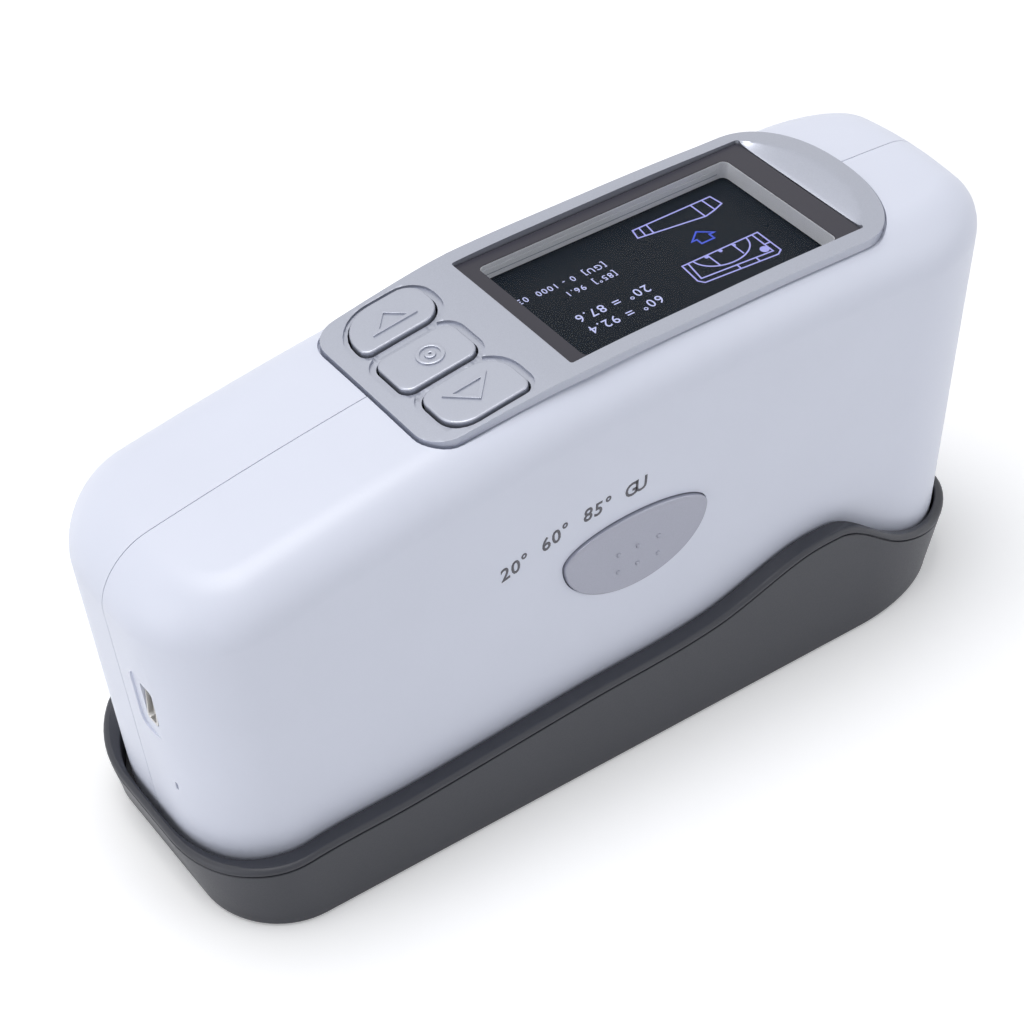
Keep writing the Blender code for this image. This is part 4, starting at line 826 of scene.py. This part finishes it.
def key_frame(name):
    near, far = KEY_ROWS[name]
    return KEY_FRAME @ Matrix.Translation((0, (near + far) / 2, 0))


def socket_outline(grow=0.0):
    across = SOCKET_ACROSS + grow
    along = SOCKET_ALONG + grow
    return rectangle(-across, across, -along, along, across * SOCKET_ROUNDNESS)


SOCKET_FRAME = end_frame(lean(LEFT, SOCKET_Z), SOCKET_Y, SOCKET_Z)


# Housing halves

def housing_skin(side):
    """Rows of one half, from the bottom edge up the drafted wall and over the shoulder to the crest."""
    edge = PARTING / 2
    rows = []
    for share in (0.0, 0.25, 0.5, 0.75):
        row = []
        for x, y in body_half(0.0):
            z = BOTTOM + (top_surface(x, y, 0.0) - BOTTOM) * share
            row.append((lean(x, z), max(y, edge) * side, z))
        rows.append(row)
    for step in range(SHOULDER_STEPS + 1):
        inset = SHOULDER * (1 - math.cos(math.pi / 2 * step / SHOULDER_STEPS))
        rows.append([(x, max(y, edge) * side, top_surface(x, y, inset)) for x, y in body_half(inset)])
    middle = (LEFT + RIGHT) / 2
    pull = (2 * HALF_WIDTH - 2 * SHOULDER) / (RIGHT - LEFT)
    for step in range(1, CROWN_STEPS + 1):
        share = step / CROWN_STEPS
        row = []
        for x, y in body_half(SHOULDER):
            x = middle + (x - middle) * (1 - share * pull)
            y = y * (1 - share)
            row.append((x, max(y, edge) * side, top_surface(x, y, SHOULDER)))
        rows.append(row)
    points, faces = loft(rows, closed=False)
    if side > 0:
        faces = [face[::-1] for face in faces]
    return points, faces


def housing_half(name, side):
    """One half with its openings; side is -1 for the near half and 1 for the far half."""
    mesh = bpy.data.meshes.new(name)
    points, faces = housing_skin(side)
    mesh.from_pydata(points, [], faces)
    half = new_object(name + "_shell", mesh)
    mesh.materials.append(WHITE)
    work = bmesh.new()
    work.from_mesh(mesh)
    bmesh.ops.remove_doubles(work, verts=work.verts, dist=WELD)
    work.faces.ensure_lookup_table()
    outward = sum(face.normal.y * face.calc_area() for face in work.faces) * side
    if outward < 0:
        bmesh.ops.reverse_faces(work, faces=work.faces)
    work.to_mesh(mesh)
    work.free()
    wall = half.modifiers.new("wall", "SOLIDIFY")
    wall.thickness = WALL
    wall.offset = -1
    settle(half)
    round_edges(half, PARTING_ROUND, 3, 50)
    carve(half, [prism(panel_outline(-PANEL_LEDGE), 2 * HALF_WIDTH, TOP_HEIGHT + OVERRUN)])
    recess = make_piece("recess", *sheet(lambda x, y: panel_face(x, y) - PANEL_THICKNESS - GAP,
                                         lambda x, y: TOP_HEIGHT + OVERRUN, PANEL_LEFT - OVERRUN,
                                         PANEL_RIGHT + OVERRUN, HALF_WIDTH, 60, 24), None)
    tall = prism(panel_outline(PANEL_FIT), 2 * HALF_WIDTH, TOP_HEIGHT + 8 * OVERRUN)
    carve(recess, [tall], operation="INTERSECT")
    combine(half, recess)
    if side < 0:
        through = (-WALL - OVERRUN, OVERRUN)
        carve(half, [prism(test_outline(TEST_GAP), *through)], TEST_FRAME)
        pocket = rectangle(0, POCKET_WIDTH, -POCKET_HEIGHT / 2, POCKET_HEIGHT / 2, POCKET_ROUND)
        carve(half, [prism(pocket, -POCKET_DEPTH, OVERRUN)],
              end_frame(lean(LEFT, POCKET_Z), POCKET_EDGE_Y, POCKET_Z, math.atan(LEFT_LEAN)))
        carve(half, [prism(socket_outline(), *through)], SOCKET_FRAME)
        width, height = RESET_SLOT
        slit = rectangle(-width / 2, width / 2, -height / 2, height / 2, width / 3)
        carve(half, [prism(slit, *through)], end_frame(lean(LEFT, RESET_Z), RESET_Y, RESET_Z))
    else:
        wells = [prism(circle(x, z, COUNTERBORE), -2 * HALF_WIDTH, -SCREW_SEAT) for x, z in HOUSING_POSTS]
        carve(half, wells, side_frame(0))
        for index, (x, z) in enumerate(HOUSING_POSTS, 1):
            around = circle(x, z, COUNTERBORE + WELL_WALL)
            well_wall = loft([[(px, pz, height) for px, pz in around]
                              for height in (-SCREW_SEAT, -HALF_WIDTH + WALL * 0.7)])
            boss = make_piece(f"screw_well_{index}", *well_wall, WHITE, matrix=side_frame(0))
            bore = prism(circle(x, z, COUNTERBORE), -2 * HALF_WIDTH, -SCREW_SEAT - WELL_WALL)
            carve(boss, [bore], side_frame(0))
            even_shading(boss)
    even_shading(half)
    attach(half, BODY)
    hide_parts(name)


housing_half("housing_front", -1)
housing_half("housing_rear", 1)


# Base

BASE_LEFT = lean(LEFT, RIM_WAVE[0][1]) - LEFT_CLEARANCE - BASE_END_WALL
BASE_RIGHT = lean(RIGHT, RIM_WAVE[-1][1]) + RIGHT_CLEARANCE + BASE_END_WALL


def base_level(share, z_of_x, grow):
    """Ring of the outer wall, at a share of the way from the plan of the foot to that of the rim."""
    foot = half_ring(BASE_LEFT + LEFT_DRAFT - grow, BASE_RIGHT - RIGHT_DRAFT + grow, BASE_HALF + grow,
                     FOOT_CORNER, BASE_RIGHT_CORNER)
    full = half_ring(BASE_LEFT - grow, BASE_RIGHT + grow, BASE_HALF + grow, BASE_LEFT_CORNER,
                     BASE_RIGHT_CORNER)
    ring = []
    for (x0, y0), (x1, y1) in zip(full_ring(foot), full_ring(full)):
        ring.append((x0 + (x1 - x0) * share, y0 + (y1 - y0) * share, z_of_x(x1)))
    return ring


def pocket_level(z_of_x, grow=0.0):
    """Ring of the inner wall, round the housing with its clearances."""
    points = []
    for x, y in full_ring(body_half(-SIDE_CLEARANCE - grow)):
        z = z_of_x(x)
        end = (2 * x - LEFT - RIGHT) / (RIGHT - LEFT)
        clearance = LEFT_CLEARANCE if x < 0 else RIGHT_CLEARANCE
        points.append((lean(x, z) + (clearance - SIDE_CLEARANCE) * end * abs(end) ** 3, y, z))
    return points


def quarter(steps):
    """Pairs (run, fall) of a quarter round from the side to the top."""
    turns = [math.pi / 2 * step / steps for step in range(steps + 1)]
    return [(1 - math.cos(turn), 1 - math.sin(turn)) for turn in turns]


def calibration_base():
    levels = [base_level(0.0, lambda x: FOOT_LIFT, -BAND_STEP - FOOT_ROUND),
              base_level(0.01, lambda x: FOOT_LIFT + FOOT_ROUND * 0.3, -BAND_STEP - FOOT_ROUND * 0.3),
              base_level(0.03, lambda x: FOOT_LIFT + FOOT_ROUND, -BAND_STEP)]
    for index in range(1, WALL_LEVELS + 1):
        share = index / WALL_LEVELS
        levels.append(base_level(share, lambda x, s=share: (FOOT_LIFT + FOOT_ROUND) * (1 - s)
                                 + (rim_height(x) - BAND - BAND_STEP) * s, -BAND_STEP))
    for below, grow in GROOVE_STEPS:
        levels.append(base_level(1.0, lambda x, b=below: rim_height(x) - BAND - b, grow))
    for run, fall in quarter(6):
        levels.append(base_level(1.0, lambda x, f=fall: rim_height(x) - LIP * f, -LIP * run))
    for run, fall in quarter(4)[::-1]:
        levels.append(pocket_level(lambda x, f=fall: rim_height(x) - LIP_INNER * f, LIP_INNER * run))
    levels.append(pocket_level(lambda x: rim_height(x) * 0.6 + BOTTOM * 0.4))
    levels.append(pocket_level(lambda x: BOTTOM - GAP))
    base = make_piece("base_shell", *loft(levels), GREY)
    seat = [point[:2] for point in base_level(0.0, lambda x: 0.0, -COVER_INSET - BAND_STEP + GAP)]
    carve(base, [prism(seat, -OVERRUN, COVER_TOP)])
    even_shading(base)
    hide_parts("calibration_base")


calibration_base()


# Silver panel

def lens_face(x, y):
    """Height of the top of the lens in its frame."""
    return LENS_RISE + LENS_END_RISE * (x - LENS_LEFT) / (LENS_RIGHT - LENS_LEFT)


def lens_outline(grow=0.0, corner=LENS_CORNER):
    return rectangle(LENS_LEFT - grow, LENS_RIGHT + grow, -LENS_HALF - grow, LENS_HALF + grow, corner)


WINDOW_OUTLINE = rectangle(*WINDOW, WINDOW_CORNER)


def scoop(steps=40):
    """Cutter of the crescent hollow that runs from the end of the lens up to the face of the panel."""
    low = lens_height(LENS_RIGHT) + lens_face(LENS_RIGHT, 0.0)
    start = LENS_RIGHT - SCOOP_LEAD
    top = TOP_HEIGHT + OVERRUN
    rings = []
    for step in range(2 * steps + 1):
        share = step / steps - 1
        y = SCOOP_HALF * share
        reach = (SCOOP_RIGHT - LENS_RIGHT) * (1 - abs(share) ** SCOOP_POWER) + SCOOP_END
        rise = max(SCOOP_LEAST_RISE, panel_face(start + reach, y) - low)
        ring = [(start - OVERRUN, y, low)]
        for part in (0.0, 0.2, 0.4, 0.6, 0.8, 1.0):
            climb = (1 - SCOOP_STRAIGHT) * (2 * part - part * part) + SCOOP_STRAIGHT * part
            ring.append((start + reach * part, y, low + rise * climb))
        past = start + reach + SCOOP_PAST
        ring.append((past, y, low + rise + SCOOP_PAST * SCOOP_STRAIGHT * rise / reach))
        ring += [(past, y, top), (start - OVERRUN, y, top)]
        rings.append(ring)
    return loft(rings)


def silver_panel():
    slab = sheet(lambda x, y: panel_face(x, y) - PANEL_THICKNESS, panel_face, PANEL_LEFT - OVERRUN,
                 PANEL_RIGHT + OVERRUN, HALF_WIDTH, 70, 24)
    panel = make_piece("panel_skin", *slab, SILVER)
    carve(panel, [prism(panel_outline(), 2 * HALF_WIDTH, TOP_HEIGHT + OVERRUN)], operation="INTERSECT")
    round_edges(panel, PANEL_ROUND, 4, 35)
    grow = GAP + COLLAR_WALL
    collar = prism(lens_outline(grow, LENS_CORNER + grow), COLLAR_UNDER, COLLAR_RISE)
    carve(panel, [collar], LENS_FRAME, "UNION")
    carve(panel, [prism(lens_outline(GAP / 2), -LENS_THICKNESS - GAP, 2 * HALF_WIDTH)], LENS_FRAME)
    carve(panel, [scoop()])
    carve(panel, [prism(WINDOW_OUTLINE, COLLAR_UNDER - OVERRUN, OVERRUN)], LENS_FRAME)
    for index, name in enumerate(KEY_ROWS):
        depth = CONTOUR_DEPTH + CONTOUR_STAGGER * index
        hollow = make_piece("hollow", *sheet(lambda x, y: panel_face(x, y) - depth,
                                             lambda x, y: TOP_HEIGHT + OVERRUN, PANEL_LEFT, LENS_LEFT,
                                             HALF_WIDTH, 40, 1), None)
        carve(hollow, [prism(contour_outline(name), -5 * OVERRUN, 5 * OVERRUN)], KEY_FRAME, "INTERSECT")
        combine(panel, hollow)
    for name in KEY_ROWS:
        hole = prism(key_outline(name, SLIDE_GAP), -PANEL_THICKNESS - OVERRUN, OVERRUN)
        carve(panel, [hole], key_frame(name))
    round_edges(panel, PANEL_EDGE, 2, 30)
    even_shading(panel, 40)
    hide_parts("top_panel")


silver_panel()


# Lens with its printed border, clear pane and the walls of the window under it

def below_lens(depth):
    return lambda x, y: lens_face(x, y) - depth


def lens_and_window():
    left, right, near, far = WINDOW
    print_solid = prism(lens_outline(), below_lens(LENS_PRINT), lens_face)
    border = make_piece("lens_border", *print_solid, BORDER, matrix=LENS_FRAME)
    carve(border, [prism(WINDOW_OUTLINE, -OVERRUN, OVERRUN)], LENS_FRAME)
    round_edges(border, LENS_EDGE, 2, 40)
    even_shading(border)
    pane = prism(WINDOW_OUTLINE, below_lens(LENS_PANE), below_lens(SKIN))
    pane = make_piece("lens_pane", *pane, GLASS, matrix=LENS_FRAME)
    even_shading(pane)
    wide = rectangle(left - WINDOW_WALL, right + WINDOW_WALL, near - WINDOW_NEAR_WALL, far + WINDOW_WALL,
                     WINDOW_CORNER)
    wide = prism(wide, COLLAR_UNDER, below_lens(LENS_PRINT + SKIN / 2))
    # The walls take the paled silver, which is painted light on them.
    walls = make_piece("window_walls", *wide, WINDOW_SILVER_PAINTED_LIGHT, matrix=LENS_FRAME)
    inner = rectangle(left + WINDOW_INSET, right - WINDOW_INSET, near + WINDOW_INSET, far - WINDOW_INSET,
                      WINDOW_CORNER)
    carve(walls, [prism(inner, -5 * OVERRUN, 5 * OVERRUN)], LENS_FRAME)
    left_end, right_end = WALL_GROOVE_ENDS
    groove = rectangle(left + left_end, right - right_end, 0, far + WALL_GROOVE, LENS_CORNER / 5)
    for depth in WALL_GROOVE_DEPTHS:
        carve(walls, [prism(groove, -depth - WALL_GROOVE_WIDTH, -depth)], LENS_FRAME)
    round_edges(walls, WALL_ROUND, 3, 40)
    even_shading(walls)
    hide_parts("display_lens")


lens_and_window()


# Graphics on the screen, in a plane along the lens; their text runs towards -X and its top is towards -Y

def ribbon(points, width, closed=False):
    """The two edges of a flat band along a polyline."""
    count = len(points)
    left = []
    right = []
    for index in range(count):
        back = points[index - 1] if closed or index else points[0]
        ahead = points[(index + 1) % count] if closed or index < count - 1 else points[-1]
        here = Vector(points[index])
        into = (here - Vector(back)).normalized() if back != points[index] else None
        out = (Vector(ahead) - here).normalized() if ahead != points[index] else None
        into = out if into is None else into
        out = into if out is None else out
        along = (into + out).normalized()
        reach = width / 2 / max(0.4, along.dot(into))
        side = Vector((-along.y, along.x)) * reach
        left.append(tuple(here + side))
        right.append(tuple(here - side))
    return left, right


def band(points, width, thick, closed=False):
    """A solid line of even width along a polyline."""
    left, right = ribbon(points, width, closed)
    count = len(points)
    corners = [(x, y, z) for z in (0.0, thick) for x, y in left + right]
    faces = []
    for index in range(count if closed else count - 1):
        after = (index + 1) % count
        quad = (index, after, count + after, count + index)
        faces.append(quad)
        faces.append([2 * count + corner for corner in quad[::-1]])
        faces.append([after, index, 2 * count + index, 2 * count + after])
        faces.append([count + index, count + after, 3 * count + after, 3 * count + index])
    if not closed:
        faces.append([0, count, 3 * count, 2 * count])
        faces.append([2 * count - 1, count - 1, 3 * count - 1, 4 * count - 1])
    return corners, faces


def arc(x, y, reach_x, reach_y, start, stop, steps=24):
    turns = [math.radians(start + (stop - start) * step / steps) for step in range(steps + 1)]
    return [(x + reach_x * math.cos(turn), y + reach_y * math.sin(turn)) for turn in turns]


def letters(text, height, thick, spacing=1.0, shear=0.0, bold=0.0):
    """Mesh points and faces of a line of text whose capitals have the height, starting at the origin."""
    curve = bpy.data.curves.new("letters", "FONT")
    curve.body = text
    curve.size = height / CAPITAL_SHARE
    curve.resolution_u = 3
    curve.space_character = spacing
    curve.shear = shear
    curve.offset = bold
    curve.extrude = thick / 2
    item = new_object("letters", curve)
    mesh = bpy.data.meshes.new_from_object(item)
    points = [(vertex.co.x, vertex.co.y, vertex.co.z + thick / 2) for vertex in mesh.vertices]
    faces = [list(face.vertices) for face in mesh.polygons]
    bpy.data.objects.remove(item, do_unlink=True)
    bpy.data.meshes.remove(mesh)
    bpy.data.curves.remove(curve)
    return points, faces


def placed(solid, turn, x, y):
    """A solid turned about Z and moved."""
    points, faces = solid
    cosine = math.cos(turn)
    sine = math.sin(turn)
    return [(x + cosine * px - sine * py, y + sine * px + cosine * py, pz) for px, py, pz in points], faces


SCREEN_FRAME = LENS_FRAME @ Matrix.Translation((*SCREEN_SHIFT, SCREEN_TOP + SKIN))


def on_screen(name, solids, material):
    piece = make_piece(name, *merge(*solids), material, matrix=SCREEN_FRAME)


def millimetres(points):
    return [(x / 1000, y / 1000) for x, y in points]


def screen_graphics():
    seat_shape = [(25.7, 9.9), (42.0, 9.9), (42.3, 7.2), (40.1, 6.4), (37.9, 5.9), (25.1, 7.7)]
    seat_bars = [((27.0, 9.9), (26.6, 7.6)), ((28.5, 9.9), (28.1, 7.3)), ((37.8, 9.9), (37.8, 5.9)),
                 ((40.2, 9.9), (40.3, 6.5))]
    case_shape = [(26.0, -2.7), (41.7, -2.7), (41.6, -8.7), (40.5, -9.4), (26.2, -8.3), (25.5, -7.3)]
    case_inside = [(27.2, -2.7), (26.4, -7.1), (40.4, -8.2), (40.5, -2.7)]
    case_bars = [((40.5, -6.0), (41.6, -6.0)), ((33.3, -7.6), (33.2, -8.9)), ((37.0, -7.9), (36.9, -9.1)),
                 ((31.1, -2.7), (31.1, -6.1)), ((36.2, -2.7), (36.2, -5.9))]
    fan = arc(33.7, -2.7, 5.5, 4.0, 180, 360)
    lines = [band(millimetres(shape), STROKE, INK_THICK, True) for shape in (seat_shape, case_shape)]
    lines += [band(millimetres(shape), STROKE, INK_THICK)
              for shape in [case_inside, fan] + seat_bars + case_bars]
    for x, y, radius in ((30.7, -3.1, 0.35), (33.6, -3.1, 0.35), (36.4, -3.2, 0.3), (39.6, -7.0, 0.8)):
        lines.append(prism(circle(x / 1000, y / 1000, radius / 1000, 20), 0, INK_THICK))
    on_screen("screen_lines", lines, LINE)
    arrow = [(33.8, 3.4), (36.1, 1.6), (35.1, 1.6), (35.1, 0.3), (32.5, 0.3), (32.5, 1.6), (31.5, 1.6)]
    on_screen("screen_arrow", [band(millimetres(arrow), STROKE * 1.2, INK_THICK, True)], ARROW)
    words = []
    for text, x, y, height in (("60\u00b0 = 92.4", 18.3, -6.5, 2.0), ("20\u00b0 = 87.6", 18.3, -3.0, 2.0),
                               ("[85\u00b0]  96.1", 16.6, 2.9, 1.35), ("[GU]  0 - 1000  03", 16.6, 5.8, 1.35)):
        words.append(placed(letters(text, height / 1000, INK_THICK, 1.22), math.pi, x / 1000, y / 1000))
    on_screen("screen_words", words, WORDS)


screen_graphics()


# Keys and test button

def button(name, outline_at, matrix, proud, edge, depth, material, body):
    """A flat key with a rolled edge; outline_at gives its outline at a growth."""
    outline = outline_at(0.0)
    rings = [[(x, y, -depth) for x, y in outline], [(x, y, proud - edge) for x, y in outline]]
    for run, fall in quarter(6)[1:]:
        rings.append([(x, y, proud - edge * fall) for x, y in outline_at(-edge * run)])
    for share in (0.9, 0.7, 0.45, 0.2):
        rings.append([(x * share, y * share, proud) for x, y in outline_at(-edge)])
    key = make_piece(name, *loft(rings), material, body, matrix)
    even_shading(key)
    return key


for key_name in KEY_ROWS:
    cap = button(key_name + "_cap", lambda grow, n=key_name: key_outline(n, grow), key_frame(key_name),
                 KEY_PROUD, KEY_ROUND, KEY_DEPTH, KEY_SILVER, key_name)
    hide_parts(key_name)

test_cap = button("test_cap", test_outline, TEST_FRAME, TEST_PROUD, TEST_ROUND, WALL, TEST_SILVER,
                  "test_button")
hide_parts("test_button")


# Raised marks of the keys, raised dots of the test button, printed angles beside it

def key_marks():
    up = [(-MARK_WIDE, MARK_HIGH), (0.0, -MARK_HIGH), (MARK_WIDE, MARK_HIGH)]
    down = [(-MARK_WIDE, -MARK_HIGH), (0.0, MARK_HIGH), (MARK_WIDE, -MARK_HIGH)]
    ring = circle(0, 0, MARK_RING, 48)
    dot = circle(0, 0, MARK_DOT, 24)
    for name, shapes in (("key_up", (up,)), ("key_enter", (ring, dot)), ("key_down", (down,))):
        solids = [band(shape, MARK_STROKE, 2 * MARK_RISE, True) for shape in shapes]
        frame_here = key_frame(name) @ Matrix.Translation((0, 0, KEY_PROUD - MARK_RISE))
        mark = make_piece(name + "_mark", *merge(*solids), KEY_SILVER, name, frame_here)
        round_edges(mark, MARK_ROUND, 2, 40)
        even_shading(mark)


key_marks()


def test_dots():
    solids = []
    for x, z in TEST_DOTS:
        rings = []
        for turn in (0, 20, 40, 60, 80):
            reach = TEST_DOT_RADIUS * math.cos(math.radians(turn))
            rise = TEST_PROUD - SKIN + TEST_DOT_RISE * math.sin(math.radians(turn))
            rings.append([(px, py, rise) for px, py in circle(x - TEST_X, z - TEST_Z, reach, 20)])
        solids.append(loft(rings))
    dots = make_piece("test_dots", *merge(*solids), TEST_SILVER, "test_button", TEST_FRAME)
    even_shading(dots, 60)


test_dots()


def side_place(run):
    """Point and direction on the line of the side print, at a share of its length."""
    points = [Vector(point) / 1000 for point in SIDE_ARC]
    lengths = [(after - before).length for before, after in zip(points, points[1:])]
    rest = run * sum(lengths)
    for index, length in enumerate(lengths):
        if rest <= length or index == len(lengths) - 1:
            along = (points[index + 1] - points[index]).normalized()
            return points[index] + along * rest, along
        rest -= length


def side_print():
    solids = []
    for index, letter in enumerate(SIDE_TEXT):
        if letter == " ":
            continue
        place, along = side_place((index + 0.1) / len(SIDE_TEXT))
        shape = letters(letter, SIDE_HEIGHT, INK_THICK, shear=SIDE_SHEAR, bold=SIDE_BOLD)
        solids.append(placed(shape, math.atan2(along.y, along.x), *place))
    frame_here = side_frame(-HALF_WIDTH) @ Matrix.Translation((0, 0, SKIN / 2))
    printed = make_piece("side_print", *merge(*solids), INK, matrix=frame_here)


side_print()


# Metal mouth of the socket, reaching into its opening in the end wall

def socket_mouth():
    shell = prism(socket_outline(-MOUTH_GAP), -WALL - MOUTH_BEHIND, -POCKET_DEPTH - MOUTH_RECESS)
    mouth = make_piece("socket_mouth", *shell, TIN, matrix=SOCKET_FRAME)
    inset = MOUTH_GAP + MOUTH_WALL
    carve(mouth, [prism(socket_outline(-inset), -WALL, OVERRUN)], SOCKET_FRAME)
    across = SOCKET_ACROSS - inset
    along = (SOCKET_ALONG - inset) * 0.8
    tongue = prism(rectangle(-across * 0.45, across * 0.25, -along, along, 0.0001), -WALL - TONGUE_BEHIND,
                   -POCKET_DEPTH - TONGUE_RECESS)
    carve(mouth, [tongue], SOCKET_FRAME, "UNION")
    round_edges(mouth, MOUTH_ROUND, 2, 40)
    even_shading(mouth)


socket_mouth()


# Finishes of the CAD nodes that stay

FINISHES = {
    "lcd_module": SCREEN,
    "standard_tile": TILE,
    "tile_pad": FOAM,
    "battery": FOIL,
    "optics_block": BLACK,
}
for name, node in NODES.items():
    finish = FINISHES.get(name)
    if finish is None:
        if name == "usb_socket":
            finish = TIN
        elif "screw" in name or name.startswith("lamp"):
            finish = STEEL
        elif name.endswith("board"):
            finish = BOARD
        elif name.startswith("receiver"):
            finish = BLACK
        else:
            finish = DARK
    for slot in node.material_slots:
        slot.material = finish


# Floor, light and camera

def set_stage():
    mesh = bpy.data.meshes.new("floor")
    corners = [(FLOOR_REACH * x, FLOOR_REACH * y, -FLOOR_DROP)
               for x, y in ((-1, -1), (1, -1), (1, 1), (-1, 1))]
    mesh.from_pydata(corners, [], [(0, 1, 2, 3)])
    floor = new_object("floor", mesh)
    material, tree, shader = new_material("pale_floor")
    put(shader, base_color=FLOOR_COLOUR, roughness=0.9, emission_color=(1, 1, 1, 1))
    shader.inputs["Specular IOR Level"].default_value = 0.1
    # Away from the lamps the floor looks brighter by itself, so it stays white up to its far end.
    place = tree.nodes.new("ShaderNodeTexCoord")
    distance = tree.nodes.new("ShaderNodeVectorMath")
    distance.operation = "LENGTH"
    tree.links.new(place.outputs["Object"], distance.inputs[0])
    near, weak = FLOOR_GLOW_NEAR
    far, strong = FLOOR_GLOW_FAR
    glow = spread(tree, distance.outputs["Value"], weak, strong, near, far)
    lift = add_node(tree, "ShaderNodeMath", operation="MULTIPLY")
    tree.links.new(seen_by(tree, "Is Camera Ray", "Is Glossy Ray"), lift.inputs[0])
    tree.links.new(glow, lift.inputs[1])
    tree.links.new(lift.outputs["Value"], shader.inputs["Emission Strength"])
    # From below the floor is clear, so that the underside of the base shows.
    side = tree.nodes.new("ShaderNodeNewGeometry")
    clear = tree.nodes.new("ShaderNodeBsdfTransparent")
    mix = tree.nodes.new("ShaderNodeMixShader")
    tree.links.new(side.outputs["Backfacing"], mix.inputs["Fac"])
    tree.links.new(shader.outputs["BSDF"], mix.inputs[1])
    tree.links.new(clear.outputs["BSDF"], mix.inputs[2])
    tree.links.new(mix.outputs["Shader"], tree.nodes["Material Output"].inputs["Surface"])
    mesh.materials.append(material)


def area_light(name, place, target, size, power, colour):
    lamp = bpy.data.lights.new(name, "AREA")
    lamp.shape = "RECTANGLE"
    lamp.size, lamp.size_y = size
    lamp.energy = power
    lamp.color = colour
    item = new_object(name, lamp)
    item.location = place
    item.rotation_mode = "QUATERNION"
    item.rotation_quaternion = (Vector(target) - Vector(place)).to_track_quat("-Z", "Y")


def set_world():
    world = bpy.data.worlds.new("studio")
    bpy.context.scene.world = world
    world.use_nodes = True
    tree = world.node_tree
    background = tree.nodes["Background"]
    put(background, color=WORLD_COLOUR, strength=WORLD_STRENGTH)
    seen = add_node(tree, "ShaderNodeBackground", strength=1.0)
    put(seen, color=(1, 1, 1, 1))
    mix = tree.nodes.new("ShaderNodeMixShader")
    rays = seen_by(tree, "Is Camera Ray", "Is Glossy Ray", "Is Transmission Ray")
    tree.links.new(rays, mix.inputs["Fac"])
    tree.links.new(background.outputs["Background"], mix.inputs[1])
    tree.links.new(seen.outputs["Background"], mix.inputs[2])
    tree.links.new(mix.outputs["Shader"], tree.nodes["World Output"].inputs["Surface"])


def set_camera():
    lens = bpy.data.cameras.new("camera")
    lens.sensor_width = CAMERA_SENSOR
    lens.lens = CAMERA_LENS
    lens.clip_start = CAMERA_CLIP
    camera = new_object("camera", lens)
    level = math.cos(CAMERA_ELEVATION)
    back = Vector((math.sin(CAMERA_AZIMUTH) * level, -math.cos(CAMERA_AZIMUTH) * level,
                   math.sin(CAMERA_ELEVATION)))
    right = Vector((math.cos(CAMERA_AZIMUTH), math.sin(CAMERA_AZIMUTH), 0))
    up = back.cross(right)
    turn = Matrix((right, up, back)).transposed().to_4x4()
    camera.matrix_world = Matrix.Translation(CAMERA_PLACE) @ turn
    bpy.context.scene.camera = camera


set_stage()
for lamp in LAMPS:
    area_light(*lamp)
set_world()
set_camera()
bpy.context.scene.view_settings.view_transform = "Standard"
